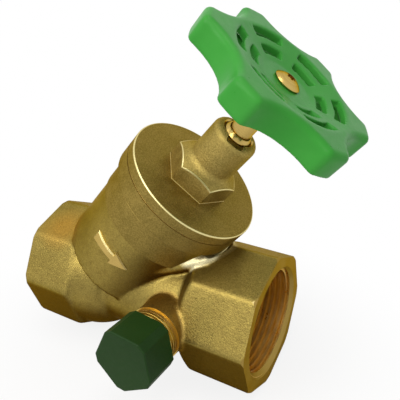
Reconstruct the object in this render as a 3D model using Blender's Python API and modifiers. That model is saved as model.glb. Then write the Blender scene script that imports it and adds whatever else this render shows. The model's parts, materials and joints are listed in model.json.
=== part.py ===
"""Inclined seat valve with threaded sockets, a green handwheel and a drain.

Metres, +Z up.  The pipe axis is +X, towards the outlet, and Z = 0 lies on it.
The bonnet axis leaves the origin and leans towards +X in the XZ plane.  The
drain points along -Y.  Sizes on the bonnet axis (S_...) are distances from the
origin along it, sizes on the pipe axis (X_...) are world X, and sizes on the
drain axis (D_...) are distances from the pipe axis.  The valve is modelled
open, as it is delivered.
"""
import math

import bmesh
import bpy
from mathutils import Matrix, Vector

MM = 0.001
CLEAR = 0.3 * MM            # gap kept between touching pieces
CUT = 1.0 * MM              # how far a cutter runs past what it cuts
WELD = 0.01 * MM            # points nearer than this are one point
RUN = 0.1 * MM              # overlap of shapes that are fused

# Body: run and sockets
SOCKET_AF = 50 * MM         # octagon across flats
X_INLET = -24.4 * MM        # face of the inlet socket
X_OUTLET = 76.8 * MM        # face of the outlet socket
INLET_OCTAGON = 25.0 * MM   # length of the inlet octagon
OUTLET_OCTAGON = 30.3 * MM  # length of the outlet octagon
END_CHAMFER = 0.8 * MM      # turned chamfer on the octagon corners
INLET_SHOULDER = 2.6 * MM   # length over which an octagon rounds off inwards
OUTLET_SHOULDER = 5.5 * MM
THREAD_R = 20.0 * MM        # G 1 1/4 female thread, crest radius
THREAD_MOUTH_R = 21.9 * MM  # countersink at the socket face
THREAD_DEPTH = 16.4 * MM
WATERWAY_R = 16.0 * MM      # DN 32
RUN_WALL = 2.9 * MM         # wall of the run at its waist
BULGE_R = 24.6 * MM         # round belly between inlet socket and branch
X_BULGE = -3.5 * MM         # centre of the belly
X_WAIST = 12.0 * MM         # where the belly has run down to the waist
RUN_FLARE = 2.4 * MM        # growth of the run from waist to outlet socket

# Branch, seat and bonnet joint
BONNET_ANGLE = math.radians(50)     # between pipe axis and bonnet axis
BRANCH_WALL = 4.3 * MM      # wall round the bonnet's thread
BRANCH_STEP = 0.6 * MM      # forged lower part below the turned upper part
S_BRANCH = 13.0 * MM        # lower edge of the branch
S_COLLAR = 42.0 * MM        # step from cast to turned
S_RIM = 53.4 * MM           # top face of the branch
S_SEAT = 13.0 * MM          # seat face
SEAT_STEP = 3.5 * MM        # from the chamber in to the bore of the seat
SEAT_LAND = 2.3 * MM        # width of the seat face
SEAT_GROOVE = 1.2 * MM      # depth of the groove round the seat
WEB = 4.0 * MM              # thickness of the wall that carries the seat
BONNET_THREAD_R = 20.6 * MM
CHAMBER_STEP = 2.1 * MM     # from the bonnet's thread in to the chamber
BONNET_THREAD_DEPTH = 15.4 * MM

# Bonnet
GASKET_T = 0.8 * MM
FLANGE_LIP = 1.7 * MM       # how far the flange overhangs the branch
FLANGE_T = 11.3 * MM
FLANGE_EDGE = 0.5 * MM      # chamfer of the flange's upper edge
FLANGE_ROOM = 0.8 * MM      # clearance milled into the outlet socket
HEX_AF = 22.7 * MM
HEX_H = 8.0 * MM
HEX_TURN = math.radians(12.2)
HEX_CHAMFER = 1.0 * MM
NECK_R = 8.75 * MM
NECK_H = 16.7 * MM
NECK_ROUND = 1.8 * MM
NECK_FILLET = 1.4 * MM
NECK_SLOT_W = 6.4 * MM      # spanner slot across the top of the neck
NECK_SLOT_D = 1.6 * MM
NECK_SLOT_TURN = math.radians(-67)
SKIRT_L = 12.8 * MM
SKIRT_WALL = 2.0 * MM
DOME_H = 2.2 * MM           # hollow above the flange's lower face
NUT_R = 9.0 * MM            # boss with the stem's nut thread
NUT_DROP = 7.0 * MM         # how far it hangs below the hollow's roof
SHOULDER_SEAT = 9.0 * MM    # stem's stop below the packing chamber's floor ...
PACKING_FLOOR = 3.0 * MM    # ... and that floor above the hexagon's top
PACKING_R = 6.5 * MM

# Stem and its seals
STEM_R = 4.0 * MM
STEM_THREAD_R = 5.0 * MM
STEM_LAND = 2.0 * MM        # plain bearing between nut thread and packing
STEM_TIP_R = 4.4 * MM
STEM_TIP_L = 8.3 * MM
STEM_THREAD_L = 28.0 * MM
STEM_EXPOSED = 15.9 * MM    # from the neck's top to the handwheel's hub
SQUARE_AF = 5.6 * MM
SCREW_HOLE_DEPTH = 10.5 * MM
BORE_PLAY = 0.3 * MM
PACKING_T = 4.4 * MM
GLAND_WASHER_T = 1.0 * MM
GLAND_T = 6.0 * MM
GLAND_RING_T = 1.5 * MM     # cord of the gland's O-ring
LIFT = 15.0 * MM            # travel of plug and stem

# Plug
PLUG_ROOM = 0.9 * MM        # between plug and chamber
PLUG_T = 3.8 * MM
PLUG_LIP = 1.6 * MM         # rim that hangs round the seal
PLUG_LIP_WALL = 1.0 * MM
PLUG_HUB_R = 8.0 * MM
PLUG_HUB_H = 9.5 * MM
SEAL_T = 3.0 * MM
STUD_R = 3.0 * MM
STUD_L = 8.3 * MM
PLUG_WASHER_R = 9.0 * MM
PLUG_WASHER_T = 1.4 * MM
PLUG_NUT_AF = 10.0 * MM
PLUG_NUT_T = 4.0 * MM
CLIP_T = 1.2 * MM           # ring that holds the stem's tip in the hub
CLIP_UP = 4.0 * MM          # its groove above the hub bore's floor
CLIP_WALL = 1.9 * MM
CLIP_DEEP = 1.0 * MM        # depth of the tip's groove
CLIP_GAP = math.radians(70)

# Handwheel
LOBES = 6
WHEEL_R = 33.3 * MM
WHEEL_H = 9.4 * MM
WHEEL_TURN = math.radians(-90)      # direction of the first lobe
SCALLOP_R = 18.2 * MM
SCALLOP_WAIST = 26.2 * MM   # radius at the bottom of a scallop
LOBE_ROUND = 2.2 * MM
EDGE_ROUND = 1.4 * MM
WHEEL_WALL = 2.6 * MM
DISH_R = 23.2 * MM          # edge of the sunk centre
DISH_D = 3.5 * MM
HUB_R = 9.5 * MM
HUB_H = 7.5 * MM
HUB_WEB = 1.1 * MM          # plastic between stem end and screw head
SLOT_RINGS = ((12.2 * MM, 15.6 * MM), (18.5 * MM, 22.0 * MM))
SLOT_SPREAD = math.radians(38)
RIB_T = 2.0 * MM
WHEEL_SCREW_R = 2.0 * MM
WHEEL_SCREW_L = 9.6 * MM
WHEEL_SCREW_HEAD_R = 4.8 * MM
WHEEL_SCREW_HEAD_H = 2.3 * MM
WHEEL_SCREW_SOCKET_AF = 2.6 * MM
WHEEL_SCREW_SOCKET_D = 1.3 * MM

# Drain
X_DRAIN = 42.9 * MM
BOSS_R = 10.4 * MM
BOSS_PROUD = 1.54 * MM      # its face beyond the octagons' corners
DRAIN_THREAD_R = 6.9 * MM
DRAIN_THREAD_DEPTH = 7.6 * MM
DRAIN_HOLE_R = 3.0 * MM
DRAIN_GASKET_T = 1.0 * MM
DRAIN_COLLAR_R = 9.9 * MM
DRAIN_COLLAR_T = 2.8 * MM
DRAIN_GROOVE = 0.5 * MM     # turned groove round the collar
NIPPLE_R = 8.2 * MM
NIPPLE_L = 11.0 * MM
NIPPLE_BORE_R = 5.3 * MM
SPINDLE_THREAD_R = 3.8 * MM
SPINDLE_HEAD_R = 4.9 * MM
SPINDLE_HEAD_H = 4.5 * MM
SPINDLE_TIP_R = 0.8 * MM
SPINDLE_TIP_L = 2.6 * MM
SPINDLE_SOCKET_AF = 4.0 * MM
SPINDLE_SOCKET_D = 2.6 * MM
SPINDLE_RING_T = 1.0 * MM
CAP_SIDES = 5
CAP_APOTHEM = 10.3 * MM
CAP_CORNER_CUT = 1.35 * MM  # what rounding takes off each corner
CAP_TURN = math.radians(12)
CAP_L = 14.0 * MM
CAP_END = 2.0 * MM
CAP_EDGE = 0.5 * MM
CAP_SEAL_T = 0.7 * MM
CAP_SEAL_HOLE_R = 4.0 * MM

ROUND = 36                  # facets of large turned pieces
FINE = 20                   # facets of small ones
SMALL = 14                  # facets of cords and screws
PHASE = math.radians(1.7)   # each cutter's facets start this much further round

# Places that follow from the sizes above
OCTAGON_R = SOCKET_AF / 2 / math.cos(math.pi / 8)
COLLAR_R = BONNET_THREAD_R + BRANCH_WALL
BRANCH_R = COLLAR_R - BRANCH_STEP
CHAMBER_R = BONNET_THREAD_R - CHAMBER_STEP
SEAT_BORE_R = CHAMBER_R - SEAT_STEP
FLANGE_R = COLLAR_R + FLANGE_LIP
PLUG_R = CHAMBER_R - PLUG_ROOM
D_BOSS = OCTAGON_R + BOSS_PROUD
S_FLANGE = S_RIM + GASKET_T + 2 * CLEAR
S_HEX = S_FLANGE + FLANGE_T
S_NECK = S_HEX + HEX_H
S_TOP = S_NECK + NECK_H
S_SKIRT = S_FLANGE - SKIRT_L
S_ROOF = S_FLANGE + DOME_H
S_NUT = S_ROOF - NUT_DROP
S_PACKING = S_NECK + PACKING_FLOOR
S_STOP = S_PACKING - STEM_LAND
S_HUB = S_TOP + STEM_EXPOSED + CLEAR
S_SQUARE = S_HUB + HUB_H - HUB_WEB - CLEAR
S_WHEEL = S_HUB + HUB_H + DISH_D
S_THREAD_END = S_STOP - CLEAR
S_THREAD_START = S_THREAD_END - STEM_THREAD_L
S_TIP = S_THREAD_START - STEM_TIP_L
S_SEAL = S_SEAT + CLEAR + LIFT
S_PLUG = S_SEAL + SEAL_T + CLEAR
S_CLIP = S_TIP - CLEAR + CLIP_UP
SKIRT_R = BONNET_THREAD_R - BORE_PLAY
D_COLLAR = D_BOSS + DRAIN_GASKET_T + 2 * CLEAR
D_NIPPLE = D_COLLAR + DRAIN_COLLAR_T
D_NIPPLE_END = D_NIPPLE + NIPPLE_L
D_THREAD = D_BOSS - DRAIN_THREAD_DEPTH
D_CAP = D_NIPPLE + CLEAR
SPINDLE_BORE_R = SPINDLE_THREAD_R + BORE_PLAY

COLOURS = {                 # base colour, roughness, metallic
    "brass": ((0.46, 0.32, 0.11, 1), 0.38, 1.0),
    "bright_brass": ((0.72, 0.47, 0.15, 1), 0.18, 1.0),
    "green": ((0.08, 0.33, 0.07, 1), 0.40, 0.0),
    "dark_green": ((0.02, 0.06, 0.02, 1), 0.45, 0.0),
    "rubber": ((0.02, 0.02, 0.02, 1), 0.70, 0.0),
    "fibre": ((0.30, 0.10, 0.05, 1), 0.80, 0.0),
    "steel": ((0.60, 0.60, 0.62, 1), 0.30, 1.0),
    "ptfe": ((0.80, 0.80, 0.78, 1), 0.55, 0.0),
}


def fresh_scene():
    """Empty the scene and make the two collections."""
    for obj in list(bpy.data.objects):
        bpy.data.objects.remove(obj, do_unlink=True)
    made = []
    for name in ("inclined_seat_valve", "cutters"):
        collection = bpy.data.collections.new(name)
        bpy.context.scene.collection.children.link(collection)
        made.append(collection)
    return made


PARTS, CUTTERS = fresh_scene()


def material(name):
    """The Principled material of that name, made on first use."""
    if name in bpy.data.materials:
        return bpy.data.materials[name]
    colour, roughness, metallic = COLOURS[name]
    mat = bpy.data.materials.new(name)
    mat.use_nodes = True
    shader = mat.node_tree.nodes["Principled BSDF"]
    shader.inputs["Base Color"].default_value = colour
    shader.inputs["Roughness"].default_value = roughness
    shader.inputs["Metallic"].default_value = metallic
    mat.diffuse_color = colour
    return mat


def axis_empty(name, location, rotation):
    """An empty whose Z is an axis of the valve."""
    empty = bpy.data.objects.new(name, None)
    empty.location = location
    empty.rotation_euler = rotation
    empty.empty_display_size = 10 * MM
    PARTS.objects.link(empty)
    return empty


PIPE = axis_empty("pipe_axis", (0, 0, 0), (0, math.pi / 2, 0))
BONNET = axis_empty("bonnet_axis", (0, 0, 0), (0, math.pi / 2 - BONNET_ANGLE, 0))
DRAIN = axis_empty("drain_axis", (X_DRAIN, 0, 0), (math.pi / 2, 0, 0))


def place(obj, axis, at=0.0, turn=0.0):
    """Stand an object on an axis, at a distance along it."""
    obj.parent = axis
    obj.location = (0, 0, at)
    obj.rotation_euler = (0, 0, turn)
    return obj


def new_object(name, mesh, finish=None):
    """A part with its material or, without one, a hidden cutter."""
    obj = bpy.data.objects.new(name, mesh)
    if finish:
        PARTS.objects.link(obj)
        mesh.materials.append(material(finish))
    else:
        CUTTERS.objects.link(obj)
        obj.display_type = "WIRE"
        obj.hide_render = True
    return obj


def turned(name, points, finish=None, closed=False, facets=ROUND):
    """A turned solid from (radius, height) points, down its outer side."""
    mesh = bpy.data.meshes.new(name)
    count = len(points)
    edges = [(i, i + 1) for i in range(count - 1)]
    if closed:
        edges.append((count - 1, 0))
    start = 0.0 if finish else PHASE * len(CUTTERS.objects)
    across = (math.cos(start), math.sin(start))
    mesh.from_pydata([(r * across[0], r * across[1], z) for r, z in points], edges, [])
    obj = new_object(name, mesh, finish)
    screw = obj.modifiers.new("turn", "SCREW")
    screw.axis = "Z"
    screw.angle = 2 * math.pi
    screw.steps = facets
    screw.render_steps = facets
    screw.use_merge_vertices = True
    screw.merge_threshold = WELD
    return obj


def ring(name, inner, outer, low, high, finish=None, facets=ROUND):
    """A flat ring between two radii and two heights."""
    points = [(outer, high), (outer, low), (inner, low), (inner, high)]
    return turned(name, points, finish, closed=True, facets=facets)


def rod(name, radius, low, high, finish=None, facets=FINE):
    """A plain round rod."""
    points = [(0, high), (radius, high), (radius, low), (0, low)]
    return turned(name, points, finish, facets=facets)


def prism(name, sides, apothem, low, high, finish=None, turn=0.0):
    """A regular prism whose first corner points along +X, then turned."""
    mesh = bpy.data.meshes.new(name)
    bm = bmesh.new()
    radius = apothem / math.cos(math.pi / sides)
    bmesh.ops.create_cone(
        bm, cap_ends=True, segments=sides, radius1=radius, radius2=radius,
        depth=high - low,
        matrix=Matrix.Translation((0, 0, (low + high) / 2))
        @ Matrix.Rotation(turn - math.pi / 2, 4, "Z"),
    )
    bm.to_mesh(mesh)
    bm.free()
    return new_object(name, mesh, finish)


def block(name, size, centre, finish=None):
    """A box of the given size about a centre."""
    mesh = bpy.data.meshes.new(name)
    bm = bmesh.new()
    matrix = Matrix.Translation(centre) @ Matrix.Diagonal((*size, 1))
    bmesh.ops.create_cube(bm, size=1, matrix=matrix)
    bm.to_mesh(mesh)
    bm.free()
    return new_object(name, mesh, finish)


def boolean(obj, operation, other):
    """Add, cut or intersect with another object."""
    mod = obj.modifiers.new(other.name, "BOOLEAN")
    mod.operation = operation
    mod.solver = "EXACT"
    mod.object = other
    return obj


def polar(radius, angle):
    """The 2D point at a radius and an angle."""
    return Vector((radius * math.cos(angle), radius * math.sin(angle)))


def arc(centre, radius, start, end, segments):
    """Points of an arc, both ends included."""
    middle, step = Vector(centre[:2]), (end - start) / segments
    return [middle + polar(radius, start + step * i) for i in range(segments + 1)]


def slab(name, outlines, low, high, finish=None, edge=0.0):
    """Closed 2D outlines extruded between two heights, as one mesh."""
    curve = bpy.data.curves.new(name, "CURVE")
    curve.dimensions = "2D"
    curve.fill_mode = "BOTH"
    curve.extrude = (high - low) / 2 - edge
    curve.bevel_depth = edge
    curve.bevel_resolution = 1
    curve.offset = -edge
    for outline in outlines:
        spline = curve.splines.new("POLY")
        spline.points.add(len(outline) - 1)
        for point, (x, y) in zip(spline.points, outline):
            point.co = (x, y, 0, 1)
        spline.use_cyclic_u = True
    source = bpy.data.objects.new(name + "_outline", curve)
    CUTTERS.objects.link(source)
    graph = bpy.context.evaluated_depsgraph_get()
    mesh = bpy.data.meshes.new_from_object(source.evaluated_get(graph))
    bpy.data.objects.remove(source, do_unlink=True)
    bm = bmesh.new()
    bm.from_mesh(mesh)
    bmesh.ops.remove_doubles(bm, verts=bm.verts, dist=WELD)
    bmesh.ops.translate(bm, verts=bm.verts, vec=(0, 0, (low + high) / 2))
    bmesh.ops.recalc_face_normals(bm, faces=bm.faces)
    bm.to_mesh(mesh)
    bm.free()
    mesh.name = name
    return new_object(name, mesh, finish)


def socket(name, x_face, length, shoulder, outward, finish=None):
    """An octagonal socket: corners chamfered at the face, rounded inwards."""
    inner = x_face - outward * length
    low, high = sorted((x_face, inner))
    octagon = prism(name, 8, SOCKET_AF / 2, low, high, finish)
    shoulder_r = BULGE_R - RUN_WALL
    outline = [
        (OCTAGON_R - END_CHAMFER, x_face),
        (OCTAGON_R + END_CHAMFER, x_face - outward * 2 * END_CHAMFER),
        (OCTAGON_R + END_CHAMFER, inner + outward * (shoulder + END_CHAMFER)),
        (OCTAGON_R - END_CHAMFER, inner + outward * shoulder * 0.7),
        (shoulder_r + END_CHAMFER, inner + outward * shoulder * 0.2),
        (shoulder_r, inner),
    ]
    if outward < 0:
        outline.reverse()
    points = [(0, high)] + outline + [(0, low)]
    limit = place(turned(name + "_limit", points), PIPE)
    place(octagon, PIPE)
    return boolean(octagon, "INTERSECT", limit)


def run_outline():
    """Outer side of the run: belly, waist and flare, from outlet to inlet."""
    waist = WATERWAY_R + RUN_WALL
    x_end = X_OUTLET - OUTLET_OCTAGON + OUTLET_SHOULDER
    belly_stop = math.acos((X_WAIST - X_BULGE - 3 * MM) / BULGE_R)
    belly = arc((X_BULGE, 0), BULGE_R, belly_stop, math.radians(105), 8)
    points = [(0, x_end), (waist + RUN_FLARE, x_end), (waist, X_WAIST)]
    points += [(y, x) for x, y in belly]
    return points + [(0, belly[-1][0])]


def half_space(name, s_from, above):
    """A large block on one side of a plane square to the bonnet axis."""
    size = 200 * MM
    centre = s_from + (size / 2 if above else -size / 2)
    return place(block(name, (size, size, size), (0, 0, centre)), BONNET)


def body():
    """The forged body with sockets, branch, seat and drain boss."""
    obj = socket("body", X_INLET, INLET_OCTAGON, INLET_SHOULDER, -1, "brass")
    boolean(obj, "UNION", place(turned("run", run_outline()), PIPE))
    outlet_end = socket("outlet_socket", X_OUTLET, OUTLET_OCTAGON, OUTLET_SHOULDER, 1)
    boolean(obj, "UNION", outlet_end)
    branch = turned("branch", [
        (0, S_RIM), (COLLAR_R, S_RIM), (COLLAR_R, S_COLLAR),
        (BRANCH_R, S_COLLAR), (BRANCH_R, S_BRANCH), (0, S_BRANCH),
    ])
    boolean(obj, "UNION", place(branch, BONNET))
    boss = rod("drain_boss", BOSS_R, THREAD_DEPTH / 2, D_BOSS, facets=ROUND)
    boolean(obj, "UNION", place(boss, DRAIN))
    relief_r = FLANGE_R + FLANGE_ROOM
    relief = ring("flange_relief", COLLAR_R / 2, relief_r, S_RIM, S_NECK)
    boolean(obj, "DIFFERENCE", place(relief, BONNET))

    inlet = place(rod("inlet_way", WATERWAY_R, X_INLET - CUT, X_DRAIN, facets=ROUND), PIPE)
    boolean(inlet, "INTERSECT", half_space("below_web", S_SEAT - WEB, False))
    outlet = place(rod("outlet_way", WATERWAY_R, 0, X_OUTLET + CUT, facets=ROUND), PIPE)
    boolean(outlet, "INTERSECT", half_space("above_web", S_SEAT, True))
    boolean(obj, "DIFFERENCE", inlet)
    boolean(obj, "DIFFERENCE", outlet)
    land_r = SEAT_BORE_R + SEAT_LAND
    chamber = turned("chamber", [
        (0, S_RIM + CUT), (BONNET_THREAD_R, S_RIM + CUT),
        (BONNET_THREAD_R, S_RIM - BONNET_THREAD_DEPTH),
        (CHAMBER_R, S_RIM - BONNET_THREAD_DEPTH), (CHAMBER_R, S_SEAT - SEAT_GROOVE),
        (land_r, S_SEAT - SEAT_GROOVE), (land_r, S_SEAT), (0, S_SEAT),
    ])
    boolean(obj, "DIFFERENCE", place(chamber, BONNET))
    hole = rod("seat_hole", SEAT_BORE_R, S_SEAT - WEB - CUT, S_SEAT + CUT, facets=ROUND)
    boolean(obj, "DIFFERENCE", place(hole, BONNET))
    for name, face, outward in (("inlet_thread", X_INLET, -1), ("outlet_thread", X_OUTLET, 1)):
        boolean(obj, "DIFFERENCE", place(thread_bore(name, face, outward), PIPE))
    port = turned("drain_port", [
        (0, D_BOSS + CUT), (DRAIN_THREAD_R, D_BOSS + CUT), (DRAIN_THREAD_R, D_THREAD),
        (DRAIN_HOLE_R, D_THREAD), (DRAIN_HOLE_R, WATERWAY_R - 4 * CUT),
        (0, WATERWAY_R - 4 * CUT),
    ], facets=FINE)
    boolean(obj, "DIFFERENCE", place(port, DRAIN))
    return obj


def thread_bore(name, x_face, outward):
    """Cutter of a socket's bore with its countersink."""
    inner = x_face - outward * THREAD_DEPTH
    sink = THREAD_MOUTH_R - THREAD_R
    points = [
        (0, x_face + outward * CUT),
        (THREAD_MOUTH_R + CUT, x_face + outward * CUT),
        (THREAD_R, x_face - outward * sink),
        (THREAD_R, inner), (0, inner),
    ]
    if outward < 0:
        points.reverse()
    return turned(name, points)


def bonnet():
    """Flange, hexagon, neck and threaded skirt in one turned forging."""
    fillet = arc((NECK_R + NECK_FILLET, S_NECK + NECK_FILLET - RUN), NECK_FILLET,
                 math.pi, 1.5 * math.pi, 3)
    crown = arc((NECK_R - NECK_ROUND, S_TOP - NECK_ROUND), NECK_ROUND,
                math.pi / 2, 0, 4)
    flange_top = FLANGE_R - FLANGE_EDGE
    points = [(0, S_TOP)] + [tuple(p) for p in crown + fillet]
    points += [
        (NECK_R + NECK_FILLET, S_HEX),
        (flange_top, S_HEX), (FLANGE_R, S_HEX - FLANGE_EDGE),
        (FLANGE_R, S_FLANGE), (SKIRT_R, S_FLANGE), (SKIRT_R, S_SKIRT), (0, S_SKIRT),
    ]
    obj = place(turned("bonnet", points, "brass"), BONNET)
    hexagon = prism("hexagon", 6, HEX_AF / 2, S_HEX - CUT, S_NECK, turn=HEX_TURN)
    corner_r = HEX_AF / 2 / math.cos(math.pi / 6)
    slope = math.tan(math.radians(30))
    limit = turned("hexagon_limit", [
        (0, S_NECK), (HEX_AF / 2 - HEX_CHAMFER / 2, S_NECK),
        (corner_r + CUT, S_NECK - slope * (corner_r + CUT - HEX_AF / 2 + HEX_CHAMFER / 2)),
        (corner_r + CUT, S_HEX - 2 * CUT), (0, S_HEX - 2 * CUT),
    ])
    boolean(place(hexagon, BONNET), "INTERSECT", place(limit, BONNET))
    boolean(obj, "UNION", hexagon)
    nut_bore = STEM_THREAD_R + BORE_PLAY
    bore = turned("bonnet_bore", [
        (0, S_TOP + CUT), (PACKING_R, S_TOP + CUT), (PACKING_R, S_PACKING),
        (STEM_R + BORE_PLAY, S_PACKING), (STEM_R + BORE_PLAY, S_STOP),
        (nut_bore, S_STOP), (nut_bore, S_NUT), (NUT_R, S_NUT), (NUT_R, S_ROOF),
        (SKIRT_R - SKIRT_WALL, S_ROOF), (SKIRT_R - SKIRT_WALL, S_SKIRT - CUT),
        (0, S_SKIRT - CUT),
    ])
    boolean(obj, "DIFFERENCE", place(bore, BONNET))
    slot = block("neck_slot", (3 * NECK_R, NECK_SLOT_W, 2 * NECK_SLOT_D),
                 (0, 0, S_TOP))
    return boolean(obj, "DIFFERENCE", place(slot, BONNET, turn=NECK_SLOT_TURN))


def bonnet_seals():
    """Gasket under the flange and the packing stack in the neck."""
    place(ring("bonnet_gasket", SKIRT_R + 2 * CLEAR, COLLAR_R - CLEAR,
               S_RIM + CLEAR, S_FLANGE - CLEAR, "fibre"), BONNET)
    inner, outer = STEM_R + BORE_PLAY, PACKING_R - CLEAR
    low = S_PACKING + CLEAR
    place(ring("packing_ring", inner, outer, low, low + PACKING_T, "ptfe", FINE), BONNET)
    low += PACKING_T + CLEAR
    place(ring("gland_washer", inner, outer, low, low + GLAND_WASHER_T,
               "bright_brass", FINE), BONNET)
    low += GLAND_WASHER_T + CLEAR
    gland = ring("gland_screw", inner, outer, low, low + GLAND_T, "bright_brass", FINE)
    place(gland, BONNET)
    middle = low + GLAND_T / 2
    room = GLAND_RING_T / 2 + CLEAR
    deep = 0.8 * GLAND_RING_T
    groove = ring("gland_groove", STEM_R, inner + deep, middle - room,
                  middle + room, facets=FINE)
    boolean(gland, "DIFFERENCE", place(groove, BONNET))
    slot = block("gland_slot", (3 * outer, STEM_R / 2, STEM_R / 2), (0, 0, low + GLAND_T))
    boolean(gland, "DIFFERENCE", place(slot, BONNET, turn=math.pi / 3))
    place(ring("gland_o_ring", inner, inner + deep - CLEAR, middle - GLAND_RING_T / 2,
               middle + GLAND_RING_T / 2, "rubber", FINE), BONNET)


def stem():
    """Rising stem: tip in the plug, thread, bearing, square for the wheel."""
    groove_r = STEM_TIP_R - CLIP_DEEP
    edge = 0.5 * MM
    points = [
        (0, S_HUB), (STEM_R, S_HUB), (STEM_R, S_THREAD_END),
        (STEM_THREAD_R, S_THREAD_END), (STEM_THREAD_R, S_THREAD_START),
        (STEM_TIP_R, S_THREAD_START), (STEM_TIP_R, S_CLIP + CLIP_T + 2 * CLEAR),
        (groove_r, S_CLIP + CLIP_T + 2 * CLEAR), (groove_r, S_CLIP),
        (STEM_TIP_R, S_CLIP), (STEM_TIP_R, S_TIP + edge),
        (STEM_TIP_R - edge, S_TIP), (0, S_TIP),
    ]
    obj = place(turned("stem", points, "bright_brass", facets=FINE), BONNET)
    square = prism("stem_square", 4, SQUARE_AF / 2, S_HUB - CUT, S_SQUARE, turn=WHEEL_TURN)
    boolean(obj, "UNION", place(square, BONNET))
    hole = rod("stem_hole", WHEEL_SCREW_R + BORE_PLAY, S_SQUARE - SCREW_HOLE_DEPTH,
               S_SQUARE + CUT, facets=SMALL)
    return boolean(obj, "DIFFERENCE", place(hole, BONNET))


def lobe_outline(inset=0.0):
    """Outline of the handwheel: lobes, rounded corners and scallops."""
    outer = WHEEL_R - inset
    scallop = SCALLOP_R + inset
    corner = LOBE_ROUND if inset == 0 else LOBE_ROUND / 2
    reach = SCALLOP_WAIST + SCALLOP_R           # centre of a scallop
    a, b = outer - corner, scallop + corner     # centre of a corner's arc
    swing = math.acos((a * a + reach * reach - b * b) / (2 * a * reach))
    points = []
    lean = math.asin(a * math.sin(swing) / b)
    half = math.pi / LOBES - swing
    for lobe in range(LOBES):
        mid = WHEEL_TURN + 2 * math.pi * lobe / LOBES
        dip = mid + math.pi / LOBES
        middle = polar(reach, dip)
        points += arc((0, 0), outer, mid - half, mid + half, 2)
        points += arc(polar(a, dip - swing), corner, dip - swing, dip + lean, 2)[1:]
        points += arc(middle, scallop, dip + math.pi + lean, dip + math.pi - lean, 6)[1:]
        points += arc(polar(a, dip + swing), corner, dip - lean, dip + swing, 2)[1:-1]
    return points


def slot_outlines():
    """Arc slots in rings, one below each lobe."""
    outlines = []
    for inner, outer in SLOT_RINGS:
        for lobe in range(LOBES):
            mid = WHEEL_TURN + 2 * math.pi * lobe / LOBES
            start, end = mid - SLOT_SPREAD / 2, mid + SLOT_SPREAD / 2
            outlines.append(arc((0, 0), outer, start, end, 5)
                            + arc((0, 0), inner, end, start, 5))
    return outlines


def dish(name, drop):
    """Conical sink of the handwheel's centre, lowered by a wall or not."""
    slope = (DISH_R - HUB_R) / DISH_D
    rise = 0.5 * MM
    return turned(name, [
        (0, rise - drop), (DISH_R + rise * slope, rise - drop),
        (HUB_R, -DISH_D - drop), (0, -DISH_D - drop),
    ])


def handwheel():
    """Moulded wheel: rounded shell, sunk slotted centre, hub and ribs."""
    obj = slab("handwheel", [lobe_outline()], -WHEEL_H, 0, "green", EDGE_ROUND)
    place(obj, BONNET, S_WHEEL)
    hollow = slab("wheel_hollow", [lobe_outline(WHEEL_WALL)], -WHEEL_H - CUT, -WHEEL_WALL)
    place(hollow, BONNET, S_WHEEL)
    boolean(hollow, "DIFFERENCE", place(dish("plate_below", WHEEL_WALL), BONNET, S_WHEEL))
    low = -DISH_D - HUB_H
    hub = turned("wheel_hub", [
        (0, -WHEEL_WALL), (HUB_R - CUT, -WHEEL_WALL), (HUB_R - 2 * CUT, low), (0, low),
    ], facets=FINE)
    place(hub, BONNET, S_WHEEL)
    rib_low, rib_high = CUT - WHEEL_H, CUT
    rib_in, rib_out = HUB_R - 3 * CUT, SCALLOP_WAIST - WHEEL_WALL / 2
    for i in range(LOBES):
        rib = block("wheel_rib_%d" % i, (rib_out - rib_in, RIB_T, rib_high - rib_low),
                    ((rib_in + rib_out) / 2, 0, (rib_low + rib_high) / 2))
        turn = WHEEL_TURN + (2 * i + 1) * math.pi / LOBES
        boolean(hollow, "DIFFERENCE", place(rib, BONNET, S_WHEEL, turn))
    boolean(obj, "DIFFERENCE", hollow)
    boolean(obj, "UNION", hub)
    boolean(obj, "DIFFERENCE", place(dish("wheel_dish", 0), BONNET, S_WHEEL))
    slots = slab("wheel_slots", slot_outlines(), -DISH_D - 2 * WHEEL_WALL, CUT)
    boolean(obj, "DIFFERENCE", place(slots, BONNET, S_WHEEL))
    square = prism("hub_square", 4, SQUARE_AF / 2 + CLEAR, low - CUT,
                   -DISH_D - HUB_WEB, turn=WHEEL_TURN)
    boolean(obj, "DIFFERENCE", place(square, BONNET, S_WHEEL))
    hole = rod("hub_hole", WHEEL_SCREW_R + BORE_PLAY, low, CUT, facets=SMALL)
    return boolean(obj, "DIFFERENCE", place(hole, BONNET, S_WHEEL))


def wheel_screw():
    """Domed screw that holds the handwheel on the stem."""
    base = S_WHEEL - DISH_D + CLEAR
    rise, half = WHEEL_SCREW_HEAD_H, WHEEL_SCREW_HEAD_R
    rim = 0.5 * MM
    dome_r = (half * half + (rise - rim) ** 2) / (2 * (rise - rim))
    spread = math.asin(half / dome_r)
    dome = arc((0, base + rise - dome_r), dome_r, math.pi / 2, math.pi / 2 - spread, 5)
    points = [tuple(p) for p in dome]
    points[0] = (0, points[0][1])
    points += [(half, base), (WHEEL_SCREW_R, base), (WHEEL_SCREW_R, base - WHEEL_SCREW_L),
               (0, base - WHEEL_SCREW_L)]
    obj = place(turned("handwheel_screw", points, "bright_brass", facets=FINE), BONNET)
    top = base + rise
    drive = prism("screw_socket", 6, WHEEL_SCREW_SOCKET_AF / 2,
                  top - WHEEL_SCREW_SOCKET_D, top + CUT)
    return boolean(obj, "DIFFERENCE", place(drive, BONNET))


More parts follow.
